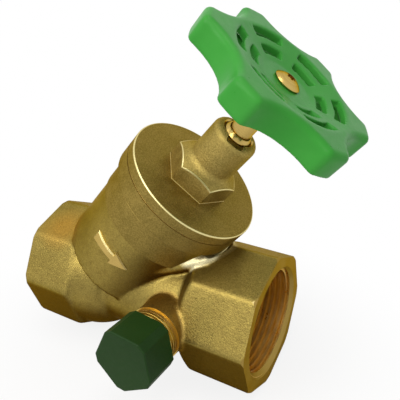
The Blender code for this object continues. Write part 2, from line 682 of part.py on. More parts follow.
def plug():
    """Seat plug with its seal, washer, nut and the clip on the stem."""
    top = S_PLUG + PLUG_T
    hub_top = top + PLUG_HUB_H
    lip_low = S_PLUG - PLUG_LIP
    lip_r = PLUG_R - PLUG_LIP_WALL
    holder = turned("plug_holder", [
        (0, hub_top), (PLUG_HUB_R, hub_top), (PLUG_HUB_R, top), (PLUG_R, top),
        (PLUG_R, lip_low), (lip_r, lip_low), (lip_r, S_PLUG), (STUD_R, S_PLUG),
        (STUD_R, S_PLUG - STUD_L), (0, S_PLUG - STUD_L),
    ], "brass")
    place(holder, BONNET)
    tip_bore = STEM_TIP_R + BORE_PLAY
    groove_r = tip_bore + CLIP_WALL - CLIP_DEEP + CLEAR
    clip_low = S_CLIP + CLEAR
    bore = turned("plug_bore", [
        (0, hub_top + CUT), (tip_bore, hub_top + CUT),
        (tip_bore, clip_low + CLIP_T + CLEAR), (groove_r, clip_low + CLIP_T + CLEAR),
        (groove_r, clip_low - CLEAR), (tip_bore, clip_low - CLEAR),
        (tip_bore, S_TIP - CLEAR), (0, S_TIP - CLEAR),
    ], facets=FINE)
    boolean(holder, "DIFFERENCE", place(bore, BONNET))

    clip_in = STEM_TIP_R - CLIP_DEEP + CLEAR
    clip_out = groove_r - CLEAR
    start, end = CLIP_GAP / 2, 2 * math.pi - CLIP_GAP / 2
    outline = arc((0, 0), clip_out, start, end, 18) + arc((0, 0), clip_in, end, start, 18)
    clip = slab("plug_clip", [outline], clip_low, clip_low + CLIP_T, "steel")
    place(clip, BONNET)

    bore_r = STUD_R + CLEAR
    place(ring("plug_seal", bore_r, lip_r - CLEAR, S_SEAL, S_PLUG - CLEAR, "rubber"), BONNET)
    high = S_SEAL - CLEAR
    place(ring("plug_washer", bore_r, PLUG_WASHER_R, high - PLUG_WASHER_T, high,
               "bright_brass", FINE), BONNET)
    high -= PLUG_WASHER_T + CLEAR
    nut = prism("plug_nut", 6, PLUG_NUT_AF / 2, high - PLUG_NUT_T, high, "bright_brass")
    hole = rod("nut_hole", bore_r, high - PLUG_NUT_T - CUT, high + CUT, facets=SMALL)
    boolean(place(nut, BONNET), "DIFFERENCE", place(hole, BONNET))


def drain_fitting():
    """Drain body with its gasket, screwed into the boss."""
    inner = DRAIN_THREAD_R - BORE_PLAY
    place(ring("drain_gasket", inner + 2 * CLEAR, DRAIN_COLLAR_R, D_BOSS + CLEAR,
               D_COLLAR - CLEAR, "fibre", FINE), DRAIN)
    mid = (D_COLLAR + D_NIPPLE) / 2
    edge = DRAIN_GROOVE / 2
    points = [
        (NIPPLE_R - edge, D_NIPPLE_END), (NIPPLE_R, D_NIPPLE_END - edge),
        (NIPPLE_R, D_NIPPLE), (DRAIN_COLLAR_R - edge, D_NIPPLE),
        (DRAIN_COLLAR_R, D_NIPPLE - edge), (DRAIN_COLLAR_R, mid + edge),
        (DRAIN_COLLAR_R - DRAIN_GROOVE, mid + edge),
        (DRAIN_COLLAR_R - DRAIN_GROOVE, mid - edge),
        (DRAIN_COLLAR_R, mid - edge), (DRAIN_COLLAR_R, D_COLLAR),
        (inner, D_COLLAR), (inner, D_THREAD + CLEAR), (SPINDLE_BORE_R, D_THREAD + CLEAR),
        (SPINDLE_BORE_R, D_NIPPLE), (NIPPLE_BORE_R, D_NIPPLE),
        (NIPPLE_BORE_R, D_NIPPLE_END),
    ]
    place(turned("drain_body", points, "bright_brass", closed=True), DRAIN)


def drain_spindle():
    """Needle that closes the drain hole, with its O-ring."""
    head = D_NIPPLE + CLEAR
    top = head + SPINDLE_HEAD_H
    ring_mid = head + SPINDLE_HEAD_H / 2
    room = SPINDLE_RING_T / 2 + CLEAR
    groove_r = SPINDLE_HEAD_R - SPINDLE_RING_T
    seat_r = DRAIN_HOLE_R - CLEAR
    points = [
        (0, top), (SPINDLE_HEAD_R, top), (SPINDLE_HEAD_R, ring_mid + room),
        (groove_r, ring_mid + room), (groove_r, ring_mid - room),
        (SPINDLE_HEAD_R, ring_mid - room), (SPINDLE_HEAD_R, head),
        (SPINDLE_THREAD_R, head), (SPINDLE_THREAD_R, D_THREAD + CLEAR),
        (seat_r, D_THREAD + CLEAR), (SPINDLE_TIP_R, D_THREAD + CLEAR - SPINDLE_TIP_L),
        (0, D_THREAD + CLEAR - SPINDLE_TIP_L),
    ]
    obj = place(turned("drain_spindle", points, "bright_brass", facets=FINE), DRAIN)
    drive = prism("spindle_socket", 6, SPINDLE_SOCKET_AF / 2, top - SPINDLE_SOCKET_D, top + CUT)
    boolean(obj, "DIFFERENCE", place(drive, DRAIN))
    place(ring("drain_o_ring", groove_r + CLEAR, SPINDLE_HEAD_R, ring_mid - SPINDLE_RING_T / 2,
               ring_mid + SPINDLE_RING_T / 2, "rubber", FINE), DRAIN)


def cap_outline():
    """Pentagon with its corners cut off in a curve."""
    corner_r = CAP_APOTHEM / math.cos(math.pi / CAP_SIDES)
    reach = corner_r - CAP_CORNER_CUT
    points = []
    for side in range(CAP_SIDES):
        corner = CAP_TURN + (2 * side + 1) * math.pi / CAP_SIDES
        spread = math.acos(CAP_APOTHEM / (corner_r - CAP_CORNER_CUT / 2))
        spread = math.pi / CAP_SIDES - spread
        points += [
            Vector((math.cos(corner + k * spread), math.sin(corner + k * spread)))
            * (reach + abs(k) * CAP_CORNER_CUT / 2)
            for k in (-1, 0, 1)
        ]
    return points


def drain_cap():
    """Green cap on the nipple, with its flat seal."""
    high = D_CAP + CAP_L
    floor = high - CAP_END
    cap = slab("drain_cap", [cap_outline()], D_CAP, high, "dark_green", CAP_EDGE)
    place(cap, DRAIN)
    bore = rod("cap_bore", NIPPLE_R + BORE_PLAY, D_CAP - CUT, floor, facets=ROUND)
    boolean(cap, "DIFFERENCE", place(bore, DRAIN))
    low = D_NIPPLE_END + CLEAR
    place(ring("cap_seal", CAP_SEAL_HOLE_R, NIPPLE_R - CLEAR / 2, low, low + CAP_SEAL_T,
               "rubber", FINE), DRAIN)


def weld_parts():
    """Join the points that a boolean leaves on top of each other."""
    for obj in PARTS.objects:
        if any(mod.type == "BOOLEAN" for mod in obj.modifiers):
            weld = obj.modifiers.new("weld", "WELD")
            weld.merge_threshold = WELD


body()
bonnet()
bonnet_seals()
stem()
handwheel()
wheel_screw()
plug()
drain_fitting()
drain_spindle()
drain_cap()
weld_parts()
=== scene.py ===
"""Dress of the inclined seat valve: forged brass, threads, moulded plastic.

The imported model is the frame.  Shapes are made in millimetres, with the sizes
that the frame has.  Each piece is turned or extruded along one of three axes,
the pipe's, the bonnet's and the drain's, and is baked into world metres when
it is tied to its body.  Heights on an axis are distances from its origin.
"""

import json
import math

import bmesh
import bpy
from mathutils import Matrix, Vector


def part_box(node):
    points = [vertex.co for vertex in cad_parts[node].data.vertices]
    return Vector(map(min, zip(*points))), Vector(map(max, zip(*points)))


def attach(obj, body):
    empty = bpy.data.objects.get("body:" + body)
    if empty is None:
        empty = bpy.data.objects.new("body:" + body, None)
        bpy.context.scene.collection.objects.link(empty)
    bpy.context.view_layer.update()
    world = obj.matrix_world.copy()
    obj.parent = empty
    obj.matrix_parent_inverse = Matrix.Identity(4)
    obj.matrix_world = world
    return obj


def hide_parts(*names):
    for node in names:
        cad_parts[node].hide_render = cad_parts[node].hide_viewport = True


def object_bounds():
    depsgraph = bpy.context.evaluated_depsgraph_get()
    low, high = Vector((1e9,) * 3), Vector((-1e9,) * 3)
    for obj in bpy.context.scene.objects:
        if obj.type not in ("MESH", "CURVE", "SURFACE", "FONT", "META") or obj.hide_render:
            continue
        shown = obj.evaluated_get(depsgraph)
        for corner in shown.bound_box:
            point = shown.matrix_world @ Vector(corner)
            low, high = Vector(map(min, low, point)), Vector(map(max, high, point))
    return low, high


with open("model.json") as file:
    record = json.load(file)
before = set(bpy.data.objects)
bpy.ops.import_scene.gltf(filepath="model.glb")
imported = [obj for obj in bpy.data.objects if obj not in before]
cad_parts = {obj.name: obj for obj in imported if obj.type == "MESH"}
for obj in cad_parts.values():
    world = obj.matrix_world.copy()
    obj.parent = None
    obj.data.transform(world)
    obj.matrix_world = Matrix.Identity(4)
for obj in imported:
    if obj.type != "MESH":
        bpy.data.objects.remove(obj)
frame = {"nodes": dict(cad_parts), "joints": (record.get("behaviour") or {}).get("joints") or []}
cad_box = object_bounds()
scene = bpy.context.scene

MM = 0.001
NODES = frame["nodes"]
JOINTS = {joint["name"]: joint for joint in frame["joints"]}
BONNET_DIR = Vector(JOINTS["plug_lift"]["axis"]).normalized()
DRAIN_DIR = Vector(JOINTS["cap_out"]["axis"]).normalized()
DRAIN_AT = Vector(JOINTS["cap_turn"]["pos_m"]) / MM
DRAIN_AT -= DRAIN_DIR * DRAIN_AT.dot(DRAIN_DIR)


def turning_frame(origin, direction, side):
    """Matrix in millimetres whose Z is a direction and whose Y is a side."""
    z, y = direction.normalized(), side.normalized()
    x = y.cross(z).normalized()
    turn = Matrix((x, z.cross(x), z)).transposed().to_4x4()
    return Matrix.Translation(origin) @ turn


PIPE = turning_frame(Vector(), Vector((1, 0, 0)), Vector((0, 1, 0)))
BONNET = turning_frame(Vector(), BONNET_DIR, Vector((0, 1, 0)))
DRAIN = turning_frame(DRAIN_AT, DRAIN_DIR, Vector((0, 0, 1)))


def reach(node, axis):
    """Lowest and highest place of a CAD node along an axis, and its radii."""
    inverse = axis.inverted()
    points = [inverse @ (vertex.co / MM) for vertex in NODES[node].data.vertices]
    heights = [p.z for p in points]
    radii = [math.hypot(p.x, p.y) for p in points]
    return min(heights), max(heights), max(radii), min(radii)


# Sizes that the frame has
CLEAR = 0.3                 # gap that the CAD keeps between touching pieces
SQUEEZE = 0.28              # of that gap, closed again by the gaskets
X_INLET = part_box("body")[0].x / MM
X_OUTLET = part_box("body")[1].x / MM
OCTAGON_R = -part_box("body")[0].z / MM
S_SKIRT, S_TOP, FLANGE_R, _ = reach("bonnet", BONNET)
S_WHEEL_LOW, S_WHEEL, WHEEL_R, _ = reach("handwheel", BONNET)
GASKET_LOW, GASKET_HIGH, GASKET_R, _ = reach("bonnet_gasket", BONNET)
S_RIM, S_FLANGE, COLLAR_R = GASKET_LOW - CLEAR, GASKET_HIGH + CLEAR, GASKET_R + CLEAR
S_STEM_LOW, S_STEM_HIGH, STEM_THREAD_R, _ = reach("stem", BONNET)
S_PACKING = reach("packing_ring", BONNET)[0] - CLEAR
D_GASKET, D_GASKET_HIGH, _, DRAIN_THREAD_R = reach("drain_gasket", DRAIN)
D_BOSS, D_COLLAR = D_GASKET - CLEAR, D_GASKET_HIGH + CLEAR
D_DRAIN_LOW, D_NIPPLE_END, DRAIN_COLLAR_R, _ = reach("drain_body", DRAIN)
D_CAP, D_CAP_END, _, _ = reach("drain_cap", DRAIN)

# Body
OCTAGON_SIDES = 8
OCTAGON_APOTHEM = OCTAGON_R * math.cos(math.pi / OCTAGON_SIDES)
INLET_LENGTH = 24.6         # of the octagon, face to shoulder
OUTLET_LENGTH = 30.0
INLET_SHOULDER = 2.6
OUTLET_SHOULDER = 5.5
INLET_ROUNDS, OUTLET_ROUNDS = 30, 10    # of softening that each octagon gets first
SPARE = 3.0                 # stock that is machined off a forging's faces
BULGE_R, BULGE_X = 24.6, -3.5
BULGE_START, BULGE_END = math.radians(105), math.radians(59)
RUN_IN, RUN_OUT = 8.0, 3.0  # how far the run reaches into the two sockets
WAIST_R, WAIST_X = 18.9, 11.5
WAIST_RISE, WAIST_L = 0.1, 3.0
FLARE_R, FLARE_X = 21.5, 47.0
BRANCH_R = COLLAR_R - 0.6
S_BRANCH, S_COLLAR = 13.0, 42.0
COLLAR_EDGE = 0.35
RELIEF_R, RELIEF_ROUND = FLANGE_R + 0.8, 0.6
BEAD_LOW, BEAD_HIGH = (25.2, 46.6), (28.3, 57.5)    # bead's (radius, height) on the branch
BEAD_R, BEAD_SINK, BEAD_TURN = 2.4, 1.6, math.radians(80)
BEAD_SEARCH, HALVINGS = 12.0, 30        # past its heights, for where it lies
# band of painted highlight round the foot of the branch
BAND_INSIDE, BAND_OUTSIDE = (24.4, 25.0), (29.3, 27.8)  # radii where the band begins, ends
BAND_LOW, BAND_SIDE = (45.0, 47.0), (4.0, 12.0)         # height, and place towards the outlet
BORE_R = 16.0
SOCKET_DEPTH = 16.4
THREAD_PITCH = 2.309        # 11 threads per inch
THREAD_CREST_R, THREAD_ROOT_R = 19.6, 20.95
THREAD_SINK = 0.35          # how far the thread's cutter reaches into the bore
THREAD_START = 1.2          # of the thread, from the bottom of the socket
UNDERCUT, UNDERCUT_END, UNDERCUT_SLOPE = 0.4, 2.5, 3.5  # past the root, ends of floor, slope
MOUTH_R = 21.5
END_CHAMFER, END_FALL = 0.8, 1.2        # of an octagon's corners: radius, length
SEAT_S, SEAT_BORE_R, SEAT_R, CHAMBER_R, WEB = 13.0, 15.0, 17.3, 18.5, 4.0
SEAT_LIP = 1.2
BONNET_THREAD_R, BONNET_THREAD_DEPTH = 20.6, 15.4
BOSS_R = 10.4
DRAIN_PORT_R, D_PORT = 3.0, 10.0
DRAIN_THREAD_DEPTH = 7.6
ARROW_S = 31.0              # middle of the raised flow arrow, on the branch
ARROW_TURN = math.radians(-90)
ARROW_LENGTH, ARROW_SHAFT_W, ARROW_HEAD_W, ARROW_HEAD_L = 15.0, 1.7, 5.6, 5.0
ARROW_PROUD, ARROW_DRAFT = 0.7, 0.5
ARROW_ROOT, ARROW_TRIM = 4.0, 0.05      # depth in the branch, trim of the outline above it
TARNISH_AT, TARNISH_R = (-13, -14, 24), (4, 13)     # orange patch on the inlet
SHADE_BELOW = (-0.42, -0.12)      # height of the normal: painted shade at its fullest below the first, none above the second

# Bonnet and stem
FLANGE_T = 11.3
FLANGE_EDGE, FLANGE_FOOT, SKIRT_EDGE = 0.45, 0.3, 0.6
HEX_AF, HEX_H = 22.7, 8.0
HEX_DROP, HEX_SLOPE = 1.66, math.radians(33)        # corner under the top, cone's fall
# sizes of the pale plinth and lip that paint highlights on the hexagon
HEX_PLINTH, HEX_LIP = 0.15, 0.27
GROOVE_SHARE, GROOVE_W, GROOVE_D = 0.62, 0.45, 0.35     # on the flange's side
HEX_TURN = math.radians(12.2)
NECK_R, NECK_ROUND, NECK_FILLET = 8.75, 2.6, 3.0
NECK_FOOT, FOOT_RISE = 2.2, 0.03        # the fillet's foot: past the neck, above the cone
NECK_MOUTH_R, NECK_MOUTH_C, NECK_LIP = 5.7, 0.5, 1.35
NOSE_R, NOSE_RIM, NOSE_H = 5.5, 0.35, 1.0
PACKING_R = 6.5
NECK_SLOT_W, NECK_SLOT_D, NECK_SLOT_ROUND = 6.4, 1.0, 0.4
NECK_SLOT_TURN = math.radians(-67)
SKIRT_WALL, DOME_H, NUT_R, NUT_DROP = 2.0, 2.2, 9.0, 7.0
S_HEX = S_FLANGE + FLANGE_T
S_NECK = S_HEX + HEX_H
SKIRT_R = BONNET_THREAD_R - CLEAR
STEM_R = 4.0
STEM_THREAD_PITCH, STEM_THREAD_D = 3.0, 1.1
S_STEM_THREAD_END = S_PACKING - 2.3
STEM_THREAD_LENGTH = 28.0
SQUARE_AF, SQUARE_EDGE = 5.6, 0.3
S_SQUARE = S_WHEEL_LOW + 1.5

# Handwheel
LOBES = 6
WHEEL_TURN = math.radians(-90)
SCALLOP_R, SCALLOP_WAIST, LOBE_ROUND, LOBE_LEAST = 18.2, 26.2, 2.6, 0.4
WHEEL_H = 9.4
WHEEL_WALL = 2.6
WHEEL_EDGE = 2.1            # rounding of the top edge
WHEEL_FOOT = 0.5            # rounding of the open edge
DISH_R, DISH_D = 23.2, 3.5
DISH_FOOT_ROUND, DISH_TOP_ROUND = 4.0, 6.0
DISH_RIM, DISH_TOP = 3.5, 3.0           # of its cutter, past the dish and above the wheel
HUB_R, HUB_DRAFT = 9.5, 1.0
HUB_WEB = 1.1
SLOT_RINGS = ((12.2, 15.6), (18.5, 22.0))
SLOT_SPREAD = math.radians(38)
RIB_T, RIB_FOOT = 2.0, 1.0
SCREW_R, SCREW_HEAD_H, SCREW_RIM = 2.0, 2.3, 0.5
SCREW_HOLE_D = 10.5         # of the hole for it in the stem
SCREW_RECESS_R, SCREW_RECESS_D = 1.55, 1.3
STAR_POINTS, STAR_WAVE = 6, 0.16        # of the recess

# Drain
COLLAR_GROOVE = 0.25
NIPPLE_R, NIPPLE_RECESS_R = 8.2, 5.3
CAP_SIDES = 5
CAP_APOTHEM = 10.3
CAP_CUT_APOTHEM = 11.55     # of the flats that take off the corners
CAP_TURN = math.radians(12)
CAP_EDGE, CAP_CORNER, CAP_CORNER_LEAST, CAP_FOOT = 0.6, 0.5, 0.15, 0.2
CAP_END = 2.0

# Making
CUT = 1.0                   # how far a cutter runs past what it cuts
NUDGE = 0.02                # keeps two surfaces from coinciding
WIDE = 100.0                # wider than the valve
FORGE_GRAIN, FORGE_ROUNDS = 0.57, 9     # voxel and softening of the forged skin
MOULD_GRAIN, MOULD_ROUNDS = 0.4, 3      # the same of the moulded wheel
FACETS, STEM_FACETS = 128, 96

# Colours of the brass
GRAZING_BRASS = (0.62, 0.46, 0.20, 1)   # its edge tint
FORGED_DARK, FORGED_BRIGHT = (0.250, 0.188, 0.048), (0.330, 0.246, 0.064)
STAIN = (0.16, 0.105, 0.03)
TARNISH = (0.42, 0.235, 0.045)
# edge wear with a painted edge highlight
EDGE_WEAR_AND_HIGHLIGHT = (0.46, 0.36, 0.15)
# painted highlight on the band round the foot of the branch
BAND_HIGHLIGHT = (0.58, 0.52, 0.31)
# painted shade on the surfaces that face down
UNDERSIDE_SHADE = (0.085, 0.048, 0.014)
GOLDEN = (0.36, 0.225, 0.055)           # of the drain boss
EDGE_WEAR_AND_HIGHLIGHT_RANGE = (0.53, 0.62)   # pointiness where edge wear and the painted edge highlight begin and are full
GOLDEN_FADE = 1.5           # past the boss


# Materials

def feed(tree, node, inputs):
    """Give a node's inputs values or other nodes' outputs."""
    for key, value in inputs.items():
        if isinstance(value, bpy.types.NodeSocket):
            tree.links.new(value, node.inputs[key])
        else:
            node.inputs[key].default_value = value


def add_node(tree, kind, inputs=None, **settings):
    """A new node with its settings and inputs."""
    node = tree.nodes.new(kind)
    for key, value in settings.items():
        setattr(node, key, value)
    feed(tree, node, inputs or {})
    return node


def place_in(tree, axis):
    """Texture coordinates in millimetres, in the frame of an axis."""
    inverse = axis.inverted()
    coordinates = add_node(tree, "ShaderNodeTexCoord").outputs["Object"]
    return add_node(tree, "ShaderNodeMapping", {
        "Vector": coordinates,
        "Scale": (1 / MM,) * 3,
        "Rotation": inverse.to_euler(),
        "Location": inverse.translation,
    }).outputs["Vector"]


def noise(tree, where, scale, detail=3.0, rough=0.55, **settings):
    """A noise texture's value."""
    key = "W" if settings.get("noise_dimensions") == "1D" else "Vector"
    return add_node(tree, "ShaderNodeTexNoise", {
        key: where, "Scale": scale, "Detail": detail, "Roughness": rough,
    }, **settings).outputs["Fac"]


def spread(tree, value, low, high, start=0.3, end=0.7):
    """A value's middle range spread between two numbers."""
    return add_node(tree, "ShaderNodeMapRange", {
        "Value": value, "From Min": start, "From Max": end, "To Min": low, "To Max": high,
    }).outputs["Result"]


def blend(tree, factor, a, b, mode="MIX"):
    """Two colours mixed by a factor."""
    a, b = ((*value, 1) if isinstance(value, tuple) else value for value in (a, b))
    mix = add_node(tree, "ShaderNodeMix", {0: factor, 6: a, 7: b},  # 6 and 7 take colours
                   data_type="RGBA", blend_type=mode)
    return mix.outputs[2]


def combine(tree, operation, a, b):
    """Two numbers combined."""
    return add_node(tree, "ShaderNodeMath", {0: a, 1: b}, operation=operation).outputs[0]


def turned_place(tree, where):
    """Radius on an axis, and the coordinates X, Y and Z in its frame."""
    parts = add_node(tree, "ShaderNodeSeparateXYZ", {"Vector": where}).outputs
    flat = add_node(tree, "ShaderNodeCombineXYZ", {"X": parts["X"], "Y": parts["Y"]})
    radius = add_node(tree, "ShaderNodeVectorMath", {0: flat.outputs[0]}, operation="LENGTH")
    return radius.outputs["Value"], parts


def turned_height(tree, where):
    """Radius plus height on an axis: constant along every turning mark."""
    radius, parts = turned_place(tree, where)
    return combine(tree, "ADD", radius, parts["Z"])


def apart_from(tree, where, place):
    """How far coordinates in the pipe's frame are from a place in millimetres."""
    return add_node(tree, "ShaderNodeVectorMath", {
        0: where, 1: tuple(PIPE.inverted() @ Vector(place)),
    }, operation="DISTANCE").outputs["Value"]


def start_material(name):
    """A new material, its tree and its Principled shader."""
    material = bpy.data.materials.new(name)
    material.use_nodes = True
    tree = material.node_tree
    return material, tree, tree.nodes["Principled BSDF"]


def bump(tree, height, depth, normal=None):
    """A normal from a height, whose full range is a depth in millimetres."""
    inputs = {"Height": height, "Distance": depth * MM, "Strength": 1.0}
    if normal:
        inputs["Normal"] = normal
    return add_node(tree, "ShaderNodeBump", inputs).outputs["Normal"]


def painted_highlight_band(tree):
    """1 on the band round the foot of the branch, where a highlight is painted."""
    radius, parts = turned_place(tree, place_in(tree, BONNET))
    share = 1.0
    for value, (start, end) in ((radius, BAND_INSIDE), (radius, BAND_OUTSIDE),
                                (parts["Z"], BAND_LOW), (parts["X"], BAND_SIDE)):
        share = combine(tree, "MULTIPLY", spread(tree, value, 0.0, 1.0, start, end), share)
    return share


def forged_brass():
    """Blasted forging: olive and orange patches, fine grain, edge wear with a painted edge
    highlight, a painted highlight round the branch's foot and painted shade on undersides.
    """
    material, tree, shader = start_material("forged_brass")
    where = place_in(tree, PIPE)
    geometry = add_node(tree, "ShaderNodeNewGeometry").outputs
    upward = add_node(tree, "ShaderNodeSeparateXYZ", {"Vector": geometry["Normal"]}).outputs["Z"]
    drain_radius, _ = turned_place(tree, place_in(tree, DRAIN))
    colour = FORGED_DARK
    for share, finish in (
            (spread(tree, noise(tree, where, 0.05), 0.0, 1.0), FORGED_BRIGHT),
            (spread(tree, noise(tree, where, 0.35, 4.0, 0.65), 0.0, 0.35, 0.45, 0.75), STAIN),
            (spread(tree, apart_from(tree, where, TARNISH_AT), 0.75, 0.0, *TARNISH_R), TARNISH),
            # edge wear with a painted edge highlight on pointed edges
            (spread(tree, geometry["Pointiness"], 0.0, 1.0, *EDGE_WEAR_AND_HIGHLIGHT_RANGE), EDGE_WEAR_AND_HIGHLIGHT),
            # painted highlight round the foot of the branch
            (painted_highlight_band(tree), BAND_HIGHLIGHT),
            # painted shade on the surfaces that face down
            (spread(tree, upward, 0.85, 0.0, *SHADE_BELOW), UNDERSIDE_SHADE),
            (spread(tree, drain_radius, 0.75, 0.0, BOSS_R, BOSS_R + GOLDEN_FADE), GOLDEN)):
        colour = blend(tree, share, colour, finish)
    grain = noise(tree, where, 2.3, 3.0, 0.65)
    shade = spread(tree, grain, 0.70, 1.30)
    grey = add_node(tree, "ShaderNodeCombineXYZ", {"X": shade, "Y": shade, "Z": shade})
    colour = blend(tree, 1.0, colour, grey.outputs["Vector"], "MULTIPLY")
    lumps = noise(tree, where, 0.9, 2.0)
    normal = bump(tree, grain, 0.10, bump(tree, lumps, 0.08))
    feed(tree, shader, {
        "Base Color": colour, "Roughness": spread(tree, grain, 0.34, 0.48), "Normal": normal,
        "Metallic": 1.0, "Specular Tint": GRAZING_BRASS,
    })
    return material


def turned_brass(name, axis, dark, bright, marks, depth, rough, grain=0.0, lined=0.4):
    """Machined brass with the marks that turning leaves round an axis."""
    material, tree, shader = start_material(name)
    where = place_in(tree, axis)
    lines = noise(tree, turned_height(tree, where), marks, 3.0, 0.6, noise_dimensions="1D")
    patches = noise(tree, where, 0.12, 4.0)
    mixed = combine(tree, "ADD", combine(tree, "MULTIPLY", lines, lined),
                    combine(tree, "MULTIPLY", patches, 1 - lined))
    fine = noise(tree, where, 2.1, 2.0)
    if grain:
        mixed = combine(tree, "ADD", mixed, spread(tree, fine, -0.28, 0.28))
    colour = blend(tree, spread(tree, mixed, 0, 1), dark, bright)
    normal = bump(tree, lines, depth, bump(tree, fine, max(grain, depth)))
    feed(tree, shader, {
        "Base Color": colour, "Normal": normal,
        "Roughness": spread(tree, patches, rough * 0.85, rough * 1.2),
        "Metallic": 1.0, "Specular Tint": GRAZING_BRASS,
    })
    return material


def moulded(name, dark, bright, rough, grain, depth, gloss):
    """Moulded plastic: faint flow clouds and the grain of the mould."""
    material, tree, shader = start_material(name)
    where = place_in(tree, PIPE)
    clouds = noise(tree, where, 0.06, 3.0)
    colour = blend(tree, spread(tree, clouds, 0, 1), dark, bright)
    texture = noise(tree, where, grain, 2.0)
    scuffs = noise(tree, where, 0.5, 5.0, 0.7)
    feed(tree, shader, {
        "Base Color": colour, "Normal": bump(tree, texture, depth),
        "Roughness": spread(tree, scuffs, rough * 0.8, rough * 1.2),
        "IOR": 1.5, "Specular IOR Level": gloss,
    })
    return material


def plain(name, dark, bright, rough, metallic=0.0, grain=1.5, depth=0.05):
    """Fibre, rubber, steel and PTFE: mottled colour and a fine grain."""
    material, tree, shader = start_material(name)
    where = place_in(tree, PIPE)
    mottle = noise(tree, where, grain, 4.0, 0.7)
    colour = blend(tree, spread(tree, mottle, 0, 1), dark, bright)
    feed(tree, shader, {
        "Base Color": colour, "Normal": bump(tree, mottle, depth),
        "Roughness": spread(tree, mottle, rough * 0.85, rough * 1.15),
        "Metallic": metallic,
    })
    return material


FORGED = forged_brass()
TURNED = {
    "pipe": turned_brass("turned_brass_pipe", PIPE, (0.70, 0.48, 0.16), (0.84, 0.63, 0.26),
                         2.2, 0.004, 0.30),
    "face": turned_brass("faced_brass", PIPE, (0.27, 0.180, 0.045), (0.36, 0.245, 0.065),
                         2.6, 0.006, 0.42),
    "bonnet": turned_brass("turned_brass_bonnet", BONNET, (0.205, 0.148, 0.037),
                           (0.310, 0.226, 0.062), 1.6, 0.006, 0.52, 0.10, 0.15),
    "neck": turned_brass("blasted_brass_neck", BONNET, (0.280, 0.212, 0.058),
                         (0.430, 0.325, 0.096), 1.6, 0.004, 0.54, 0.12, 0.05),
    "drain": turned_brass("turned_brass_drain", DRAIN, (0.56, 0.40, 0.10), (0.70, 0.51, 0.15),
                          2.5, 0.003, 0.30),
}
POLISHED = turned_brass("polished_brass", BONNET, (0.46, 0.32, 0.09), (0.60, 0.43, 0.14),
                        3.0, 0.006, 0.22)
# pale brass for edge wear and for painted highlights
WORN_AND_HIGHLIGHT = turned_brass("worn_edge_and_highlight_brass", BONNET, (0.64, 0.54, 0.23), (0.82, 0.72, 0.36),
                    3.0, 0.004, 0.34)
COPPER = turned_brass("copper_seal", DRAIN, (0.42, 0.27, 0.07), (0.54, 0.35, 0.10),
                      3.0, 0.004, 0.36)
GREEN = moulded("green_plastic", (0.036, 0.275, 0.034), (0.052, 0.325, 0.046), 0.33, 1.8, 0.02,
                0.12)
DARK_GREEN = moulded("dark_green_plastic", (0.010, 0.036, 0.005), (0.014, 0.046, 0.008), 0.45,
                     2.0, 0.02, 0.13)
RUBBER = plain("rubber", (0.010, 0.010, 0.010), (0.022, 0.021, 0.020), 0.62)
FIBRE = plain("fibre", (0.040, 0.020, 0.009), (0.085, 0.043, 0.018), 0.8, 0.0, 2.5, 0.1)
STEEL = plain("steel", (0.42, 0.42, 0.43), (0.55, 0.55, 0.57), 0.30, 1.0, 1.0, 0.01)
PTFE = plain("ptfe", (0.70, 0.69, 0.66), (0.80, 0.79, 0.77), 0.5, 0.0, 0.5, 0.02)


# Shapes

def new_object(name, bm, axis=None, material=None):
    """An object from a bmesh, moved onto an axis."""
    bmesh.ops.recalc_face_normals(bm, faces=bm.faces)
    if axis:
        bm.transform(axis)
    mesh = bpy.data.meshes.new(name)
    bm.to_mesh(mesh)
    bm.free()
    obj = bpy.data.objects.new(name, mesh)
    scene.collection.objects.link(obj)
    if material:
        mesh.materials.append(material)
    return obj


def polar(radius, angle):
    """The 2D point at a radius and an angle."""
    return Vector((radius * math.cos(angle), radius * math.sin(angle)))


def arc(centre, radius, start, end, steps):
    """Points of an arc, both ends included."""
    middle, step = Vector(centre), (end - start) / steps
    return [middle + polar(radius, start + step * i) for i in range(steps + 1)]


def corner_arc(before, here, after, radius, steps):
    """Points that round off one corner."""
    back, ahead = (before - here).normalized(), (after - here).normalized()
    half = back.angle(ahead) / 2
    centre = here + (back + ahead).normalized() * radius / math.sin(half)
    first = (here + back * radius / math.tan(half) - centre).normalized()
    last = (here + ahead * radius / math.tan(half) - centre).normalized()
    return [centre + first.slerp(last, k / steps) * radius for k in range(steps + 1)]


def rounded(corners, steps=5, closed=False):
    """An outline whose corners (x, y, radius) are rounded."""
    places = [Vector(corner[:2]) for corner in corners]
    radii = [corner[2] if len(corner) > 2 else 0 for corner in corners]
    last = len(places) - 1
    points = []
    for i, (here, radius) in enumerate(zip(places, radii)):
        if not radius or (not closed and i in (0, last)):
            points.append(here)
        else:
            points += corner_arc(places[i - 1], here, places[(i + 1) % len(places)], radius, steps)
    return points


def lathe(name, points, axis, closed=False, facets=FACETS, material=None):
    """A solid turned about an axis from (radius, height) points."""
    bm = bmesh.new()
    verts = [bm.verts.new((p[0], 0, p[1])) for p in points]
    edges = [bm.edges.new(pair) for pair in zip(verts, verts[1:])]
    if closed:
        edges.append(bm.edges.new((verts[-1], verts[0])))
    bmesh.ops.spin(bm, geom=verts + edges, axis=(0, 0, 1), cent=(0, 0, 0),
                   steps=facets, angle=2 * math.pi, use_merge=True)
    bmesh.ops.remove_doubles(bm, verts=bm.verts, dist=0.001)
    return new_object(name, bm, axis, material)


def rod(name, radius, low, high, axis, facets=FACETS, material=None):
    """A round rod between two heights."""
    points = [(0, low), (radius, low), (radius, high), (0, high)]
    return lathe(name, points, axis, facets=facets, material=material)


def ring(name, inner, outer, low, high, axis, edge, material=None):
    """A flat ring with rounded edges."""
    corners = [(outer, high, edge), (outer, low, edge), (inner, low, edge), (inner, high, edge)]
    return lathe(name, rounded(corners, 3, True), axis, closed=True, material=material)


